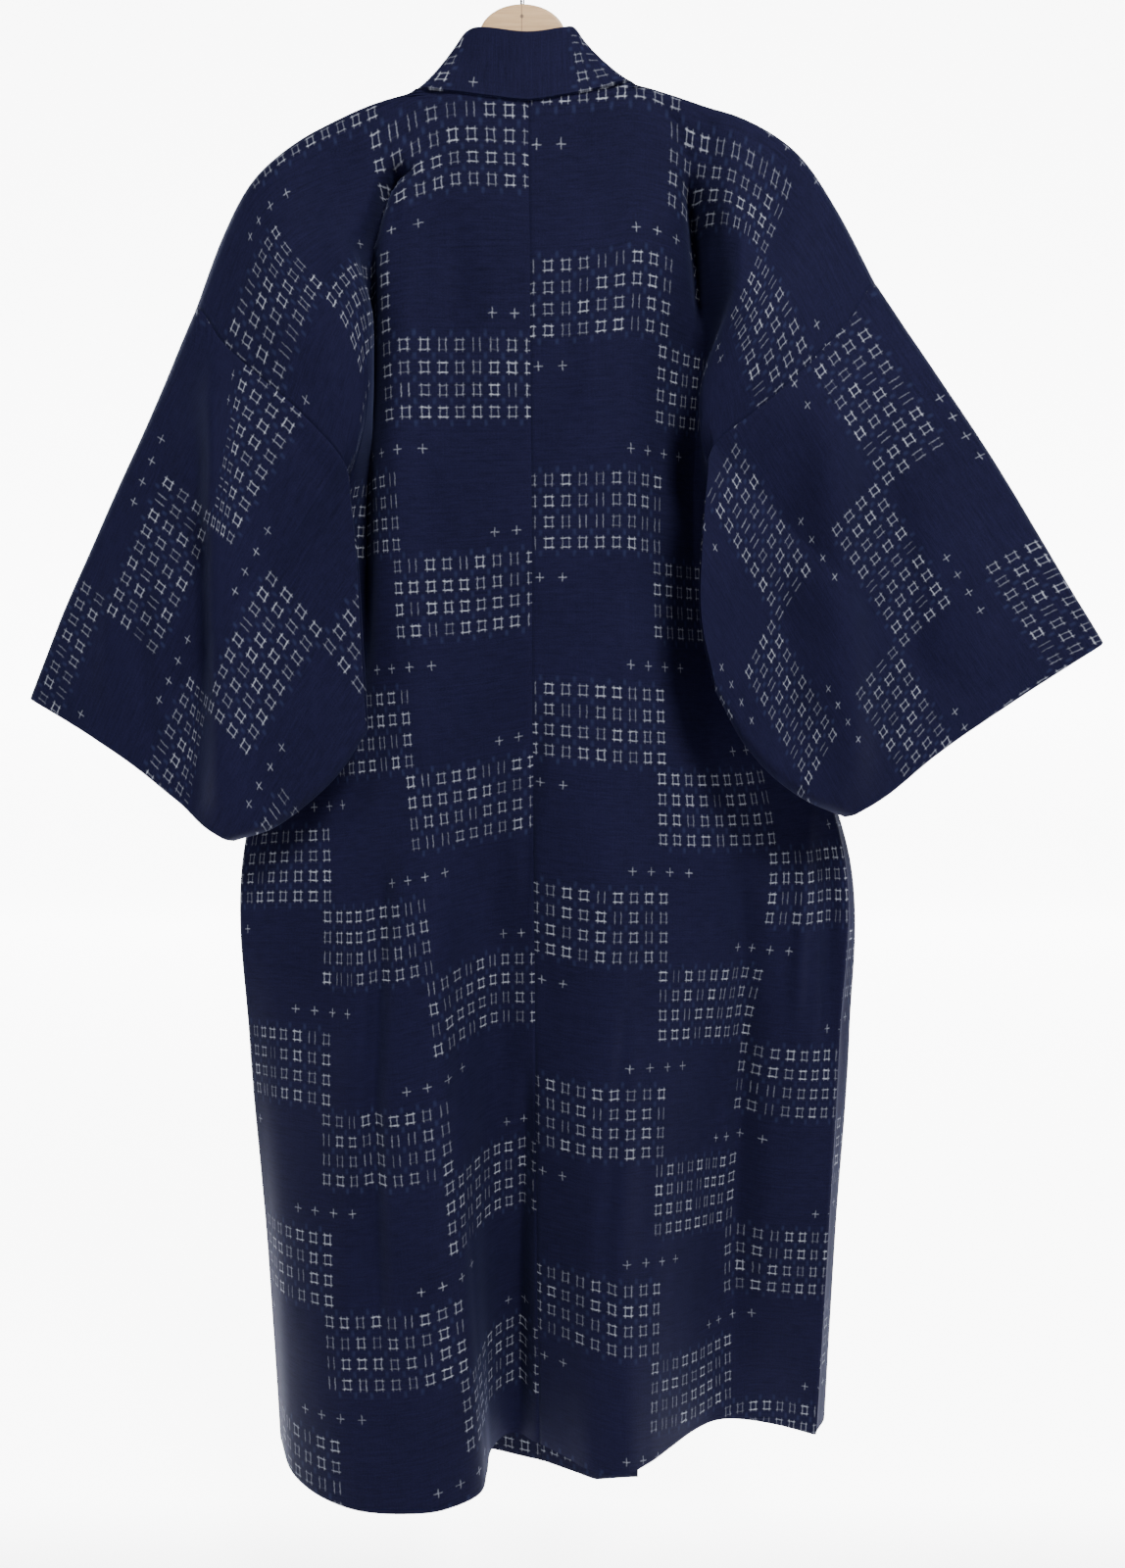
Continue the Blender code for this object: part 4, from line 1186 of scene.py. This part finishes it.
# %% Collar
COLLAR_WIDTH = 50.0
COLLAR_THICK = 2.6
COLLAR_LAP = 1.6
COLLAR_PROUD = 1.7
COLLAR_PROUD_FADE = 7
BAND_ON_OKUMI = (1.0, 0.0, 0.12)
BAND_ON_FRONT = (0.95, 0.05, 0.30)
BAND_AT_SHOULDER = (0.84, 0.16, 0.52)
BAND_AT_BACK = (0.0, -0.02, 1.0)
LEFT_LEAN = 0.75
SEAM_AT_BACK = ((0, 0), (30, 0.05), (58, 0.4), (78, 0.75))
SEAM_ON_FRONT = ((6, 0), (30, 0.3), (75, 0.7), (140, 1), (220, 1))
SEAM_ON_OKUMI = ((316, 0.2), (400, 0.6), (480, 1), (560, 1), (648, 1))
COLLAR_STEP = 3.5
COLLAR_UPS = np.concatenate([[-1.6, -1.1, -0.3, 0.8], np.linspace(3, 46, 14), [48, 49.2, 49.8, 50]])
COLLAR_BLOCK = 46.0
COLLAR_CELL = 1.3


def collar_half(side):
    """Seam points of half the collar and the way up the band, from the back to the end."""
    seam, way = [], []
    for across, share in SEAM_AT_BACK:
        drop = NECK_DROP * math.sqrt(1 - across / NECK_HALF)
        seam.append(body_points(side, "back", [drop], [[across]])[0, 0])
        way.append((1 - share) * np.array(BAND_AT_BACK) + share * np.array(BAND_AT_SHOULDER))
    for drop, share in SEAM_ON_FRONT:
        seam.append(body_points(side, "front", [drop], [[front_edge(drop)]])[0, 0])
        way.append((1 - share) * np.array(BAND_AT_SHOULDER) + share * np.array(BAND_ON_FRONT))
    for drop, share in SEAM_ON_OKUMI:
        seam.append(okumi_points(side, np.array([drop]), okumi_width(np.array([[drop]])))[0, 0])
        way.append((1 - share) * np.array(BAND_ON_FRONT) + share * np.array(BAND_ON_OKUMI))
    way = np.array(way)
    way[:, 0] *= -BODY[side]["sign"]
    if side == "left":
        way[: len(SEAM_AT_BACK) + 2, 0] *= LEFT_LEAN
    return np.array(seam), way


def collar():
    """Band along the seam: each seam point plus the way up times the height on the band."""
    left_seam, left_way = collar_half("left")
    right_seam, right_way = collar_half("right")
    centre = (left_seam[0] + right_seam[0]) / 2
    seam = np.concatenate([left_seam[:0:-1], centre[None], right_seam[1:]])
    way = np.concatenate([left_way[:0:-1], left_way[:1], right_way[1:]])
    knots = np.concatenate([[0], np.cumsum(np.linalg.norm(np.diff(seam, axis=0), axis=1))])
    stops = np.linspace(0, knots[-1], int(knots[-1] / COLLAR_STEP))
    line = steps(knots, seam.T, stops).T
    rise = unit(steps(knots, way.T, stops).T)
    grid = line[:, None] + rise[:, None] * COLLAR_UPS[None, :, None]
    proud = COLLAR_PROUD * np.exp(-np.clip(COLLAR_UPS + COLLAR_LAP, 0, None) / COLLAR_PROUD_FADE)
    grid += normals(grid) * proud[None, :, None]
    grid[..., 1] -= rumple_rise(on_plane(grid))
    edge = np.clip((COLLAR_WIDTH - COLLAR_UPS) / COLLAR_THICK, 0, 1)
    thick = COLLAR_THICK * np.sqrt(1 - (1 - edge) ** 2) * 0.9 + 0.1 * COLLAR_THICK
    middle = knots[len(left_seam) - 1]
    across = np.broadcast_to(COLLAR_UPS + COLLAR_CELL * ACROSS_PITCH, grid.shape[:2])
    along = np.broadcast_to((stops - middle - COLLAR_BLOCK)[:, None], grid.shape[:2])
    print("collar band is", round(float(knots[-1])), "mm long")
    return shell("collar_band", grid, np.stack([across, along], axis=-1), thick=thick[None, :])


collar_band = collar()

# %% [markdown]
# The hanger is a board cut to a curved outline, with its edges rounded over. Only the
# domed crown shows above the collar. Two halves meet there in a fine joint, with a nail
# hole beside it. The wire hook is plain and round.

# %% Hanger
WOOD_DEPTH = 12.0
EDGE_ROUND = 2.2
CROWN_TOP = -63.0
CROWN_HALF = 34.8
CROWN_HEIGHT = 24.6
LEFT_ARM = (
    (-202, -188), (-173, -167), (-146, -154), (-114, -144.5),
    (-90, -139.5), (-56, -130), (-37, -112),
)
RIGHT_ARM = (
    (37, -110), (56, -126), (92, -132), (117, -140),
    (148, -149), (177, -159), (205, -172),
)
RIGHT_END = ((211, -176), (211, -187), (203, -193))
UNDERSIDE = ((160, -176), (100, -163), (0, -158), (-100, -166), (-160, -182))
LEFT_END = ((-200, -206), (-208, -202), (-208, -193))
HOOK_WIRE = 3.6
HOOK_RADIUS = 19.0
HOOK_NECK = ((7.0, 20.5), (2.6, 24.5), (0.6, 29.0), (0.0, 33.5))
HOOK_TURN = (190.0, -50.0)
WIRE_CORNERS = 20


def wood():
    """Pale wood with long fine grain along x, a glued joint and a nail hole."""
    board = Cloth("pale_wood")
    spot = board.node("ShaderNodeTexCoord", output=3)
    x = board.node("ShaderNodeSeparateXYZ", None, {"Vector": spot}, 0) * 1000.0
    z = board.node("ShaderNodeSeparateXYZ", None, {"Vector": spot}, 2) * 1000.0
    grain = board.noise(board.place(x * 0.02, z * 0.55), 1.0, 4.0, 0.6)
    pore = board.noise(board.place(x * 0.09, z * 2.4, 4.0), 1.0, 2.0, 0.7)
    tone = ((grain - 0.5) * 1.5 + (pore - 0.5) * 0.7 + 0.5).clamp()
    color = board.blend(tone, (0.42, 0.24, 0.10), (0.64, 0.42, 0.22))
    joint = abs(x + 0.4).fade(0.15, 0.5)
    nail = ((x + 0.2) * (x + 0.2) + (z + 73.0) * (z + 73.0)).fade(1.2, 3.0)
    dark = (joint * 0.7 + nail * 0.8).clamp()
    board.feed("Base Color", board.blend(dark, color, (0.09, 0.05, 0.03)))
    board.feed("Roughness", 0.45)
    return board.material


def metal():
    wire = Cloth("bright_wire")
    wire.feed("Base Color", (0.62, 0.62, 0.64, 1))
    wire.feed("Metallic", 1.0)
    wire.feed("Roughness", 0.28)
    return wire.material


def hanger_outline():
    """Left arm, domed crown, right arm and underside, as one ring of x and z."""
    arc = np.radians(np.linspace(-90, 90, 61))
    crown_z = CROWN_TOP - CROWN_HEIGHT * (1 - np.cos(arc))
    crown = np.stack([CROWN_HALF * np.sin(arc), crown_z], axis=1)
    shares = np.linspace(0, 1, 60)
    lower = np.array([*RIGHT_END, *UNDERSIDE, *LEFT_END], float)
    arms = edge_curve(LEFT_ARM, shares), edge_curve(RIGHT_ARM, shares)
    return np.concatenate([arms[0], crown, arms[1], lower])


def hanger_board():
    """Outlines from back to front, drawn in by EDGE_ROUND (1 - cos angle) at the edges."""
    line = hanger_outline()
    ahead = unit(np.roll(line, -1, axis=0) - np.roll(line, 1, axis=0))
    outward = np.stack([-ahead[:, 1], ahead[:, 0]], axis=1)
    rounds = np.radians(np.linspace(0, 90, 6))
    rings = []
    for side, angles in ((-1, rounds[::-1]), (1, rounds)):
        for angle in angles:
            inset = line - outward * EDGE_ROUND * (1 - math.cos(angle))
            y = side * (WOOD_DEPTH / 2 - EDGE_ROUND + EDGE_ROUND * math.sin(angle))
            rings.append(np.stack([inset[:, 0], np.full(len(inset), y), inset[:, 1]], axis=1))
    rings = np.array(rings)
    count = len(line)
    index = np.arange(rings.shape[0] * count).reshape(rings.shape[0], count)
    after = np.roll(index, -1, axis=1)
    band = np.stack([index[:-1], index[1:], after[1:], after[:-1]], axis=-1).reshape(-1, 4)
    faces = [tuple(quad) for quad in band.tolist()]
    faces += [tuple(index[0].tolist()), tuple(index[-1, ::-1].tolist())]
    mesh = bpy.data.meshes.new("hanger_board")
    mesh.from_pydata((rings.reshape(-1, 3) * MM).tolist(), [], faces)
    mesh.shade_smooth()
    smooth = np.ones(len(faces), dtype=bool)
    smooth[-2:] = False
    mesh.polygons.foreach_set("use_smooth", smooth)
    return put("hanger_board", mesh, wood())


def hook_wire():
    """Round section carried along an arc and a neck down into the crown."""
    centre = HOOK_WIRE / 2 - HOOK_RADIUS
    bend = np.radians(np.linspace(*HOOK_TURN, 60))
    arc = np.stack([HOOK_RADIUS * np.cos(bend), centre + HOOK_RADIUS * np.sin(bend)], axis=1)
    neck = edge_curve([(x, centre - below) for x, below in HOOK_NECK], np.linspace(0, 1, 16))
    path = np.concatenate([arc, neck, [(0, CROWN_TOP + SEAM_GAP)]])
    ahead = unit(np.gradient(path, axis=0))
    ahead[-1] = (0, -1)
    angle = np.linspace(0, 2 * math.pi, WIRE_CORNERS, endpoint=False)
    flat, deep = HOOK_WIRE / 2 * np.cos(angle), HOOK_WIRE / 2 * np.sin(angle)
    x = path[:, :1] - ahead[:, 1:] * flat
    z = path[:, 1:] + ahead[:, :1] * flat
    points = np.stack([x, np.broadcast_to(deep, x.shape), z], axis=-1).reshape(-1, 3)
    index = np.arange(len(points)).reshape(len(path), WIRE_CORNERS)
    after = np.roll(index, -1, axis=1)
    quads = np.stack([index[:-1], after[:-1], after[1:], index[1:]], axis=-1).reshape(-1, 4)
    faces = [tuple(quad) for quad in quads.tolist()]
    faces += [tuple(index[0, ::-1].tolist()), tuple(index[-1].tolist())]
    mesh = bpy.data.meshes.new("hook_wire")
    mesh.from_pydata((points * MM).tolist(), [], faces)
    mesh.shade_smooth()
    mesh.set_sharp_from_angle(angle=math.radians(50))
    return put("hook_wire", mesh, metal())


board = hanger_board()
wire = hook_wire()
print("hanger board and hook wire made")

# %% [markdown]
# The garment hangs in front of a pale sweep: a floor that curves up into a wall. Behind the
# garment the sweep glows, so that the picture's background is nearly white.

# %% Sweep
FLOOR_Z = -1.46
WALL_Y = 3.6
SWEEP_BEND = 0.7
GLOW_FROM = -0.1
GLOW_UNTIL = 0.15
GLOW = 7.5
FRONT_EDGE_Y = -3.5
SWEEP_TOP = 2.6


def sweep():
    """Floor, quarter circle and wall; it glows only past GLOW_UNTIL."""
    turn_up = np.radians(np.linspace(0, 90, 24))
    bend_y = WALL_Y - SWEEP_BEND + SWEEP_BEND * np.sin(turn_up)
    bend_z = FLOOR_Z + SWEEP_BEND * (1 - np.cos(turn_up))
    line_y = np.concatenate([[FRONT_EDGE_Y], bend_y, [WALL_Y]])
    line_z = np.concatenate([[FLOOR_Z], bend_z, [SWEEP_TOP]])
    points = [(x, y, z) for y, z in zip(line_y, line_z) for x in (-4.0, 4.0)]
    faces = [(2 * i, 2 * i + 1, 2 * i + 3, 2 * i + 2) for i in range(len(line_y) - 1)]
    mesh = bpy.data.meshes.new("pale_sweep")
    mesh.from_pydata(points, [], faces)
    mesh.shade_smooth()
    paper = Cloth("pale_paper")
    paper.feed("Base Color", (0.86, 0.86, 0.87, 1))
    paper.feed("Roughness", 0.9)
    paper.feed("Specular IOR Level", 0.1)
    spot = paper.node("ShaderNodeTexCoord", output=3)
    ahead = paper.node("ShaderNodeSeparateXYZ", None, {"Vector": spot}, 1)
    ahead = ahead.fade(GLOW_FROM, GLOW_UNTIL)
    paper.feed("Emission Color", paper.blend(ahead, (1, 1, 1), (0.02, 0.02, 0.02)))
    paper.feed("Emission Strength", GLOW)
    return put("pale_sweep", mesh, paper.material)


stage = sweep()
print("sweep from z", FLOOR_Z, "to", SWEEP_TOP)

# %% [markdown]
# A soft light stands high on the viewer's right, a weaker one on the left fills the front,
# and the surroundings are dim enough to leave the deep folds dark.

# %% Light
LIGHTS = (
    {"name": "key", "at": (0.95, -1.9, 1.35), "to": (0.0, 0.0, -0.6), "size": 0.7, "power": 134},
    {"name": "fill", "at": (-1.6, -2.1, 0.3), "to": (0.0, 0.0, -0.65), "size": 1.0, "power": 22},
)
WORLD_LIGHT = 0.035


def aim(made, target):
    """Turn a lamp so that its -z points at the target."""
    way = [t - a for t, a in zip(target, made.location)]
    flat = math.hypot(way[0], way[1])
    made.rotation_euler = (math.atan2(flat, -way[2]), 0, math.atan2(-way[0], way[1]))


for one in LIGHTS:
    lamp = bpy.data.lights.new(one["name"], "AREA")
    lamp.size = one["size"]
    lamp.energy = one["power"]
    made = bpy.data.objects.new(one["name"], lamp)
    made.location = one["at"]
    aim(made, one["to"])
    bpy.context.scene.collection.objects.link(made)

world = bpy.data.worlds.new("pale_room")
world.use_nodes = True
world.node_tree.nodes["Background"].inputs["Color"].default_value = (1, 1, 1, 1)
world.node_tree.nodes["Background"].inputs["Strength"].default_value = WORLD_LIGHT
bpy.context.scene.world = world
print("lights:", [one["name"] for one in LIGHTS])

# %% [markdown]
# Each visual piece rides on the part's one body and replaces its own CAD node. The
# rectangle of cloth each cloth piece was cut from is listed beside it, but not used.

# %% Pieces
BODY_CUT = (0.340, 2.304)
BODY_AREA = 0.769
OKUMI_CUT = (0.108, 0.836)
OKUMI_AREA = 0.064
SLEEVE_CUT = (0.345, 0.700)
SLEEVE_AREA = 0.236

for side in BODY:
    pieces = (
        (body_strips[side], "body_" + side, BODY_CUT, BODY_AREA),
        (overlap_panels[side], "okumi_" + side, OKUMI_CUT, OKUMI_AREA),
        (sleeves[side], "sleeve_" + side, SLEEVE_CUT, SLEEVE_AREA),
    )
    for piece, node, cut, area in pieces:
        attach(piece, "root")
        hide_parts(node)

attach(collar_band, "root")
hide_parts("collar")
for piece, node, slot in ((board, "hanger", "wood_pale"), (wire, "hanger_hook", "steel_hook")):
    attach(piece, "root")
    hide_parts(node)
print("nine pieces ride on the root")
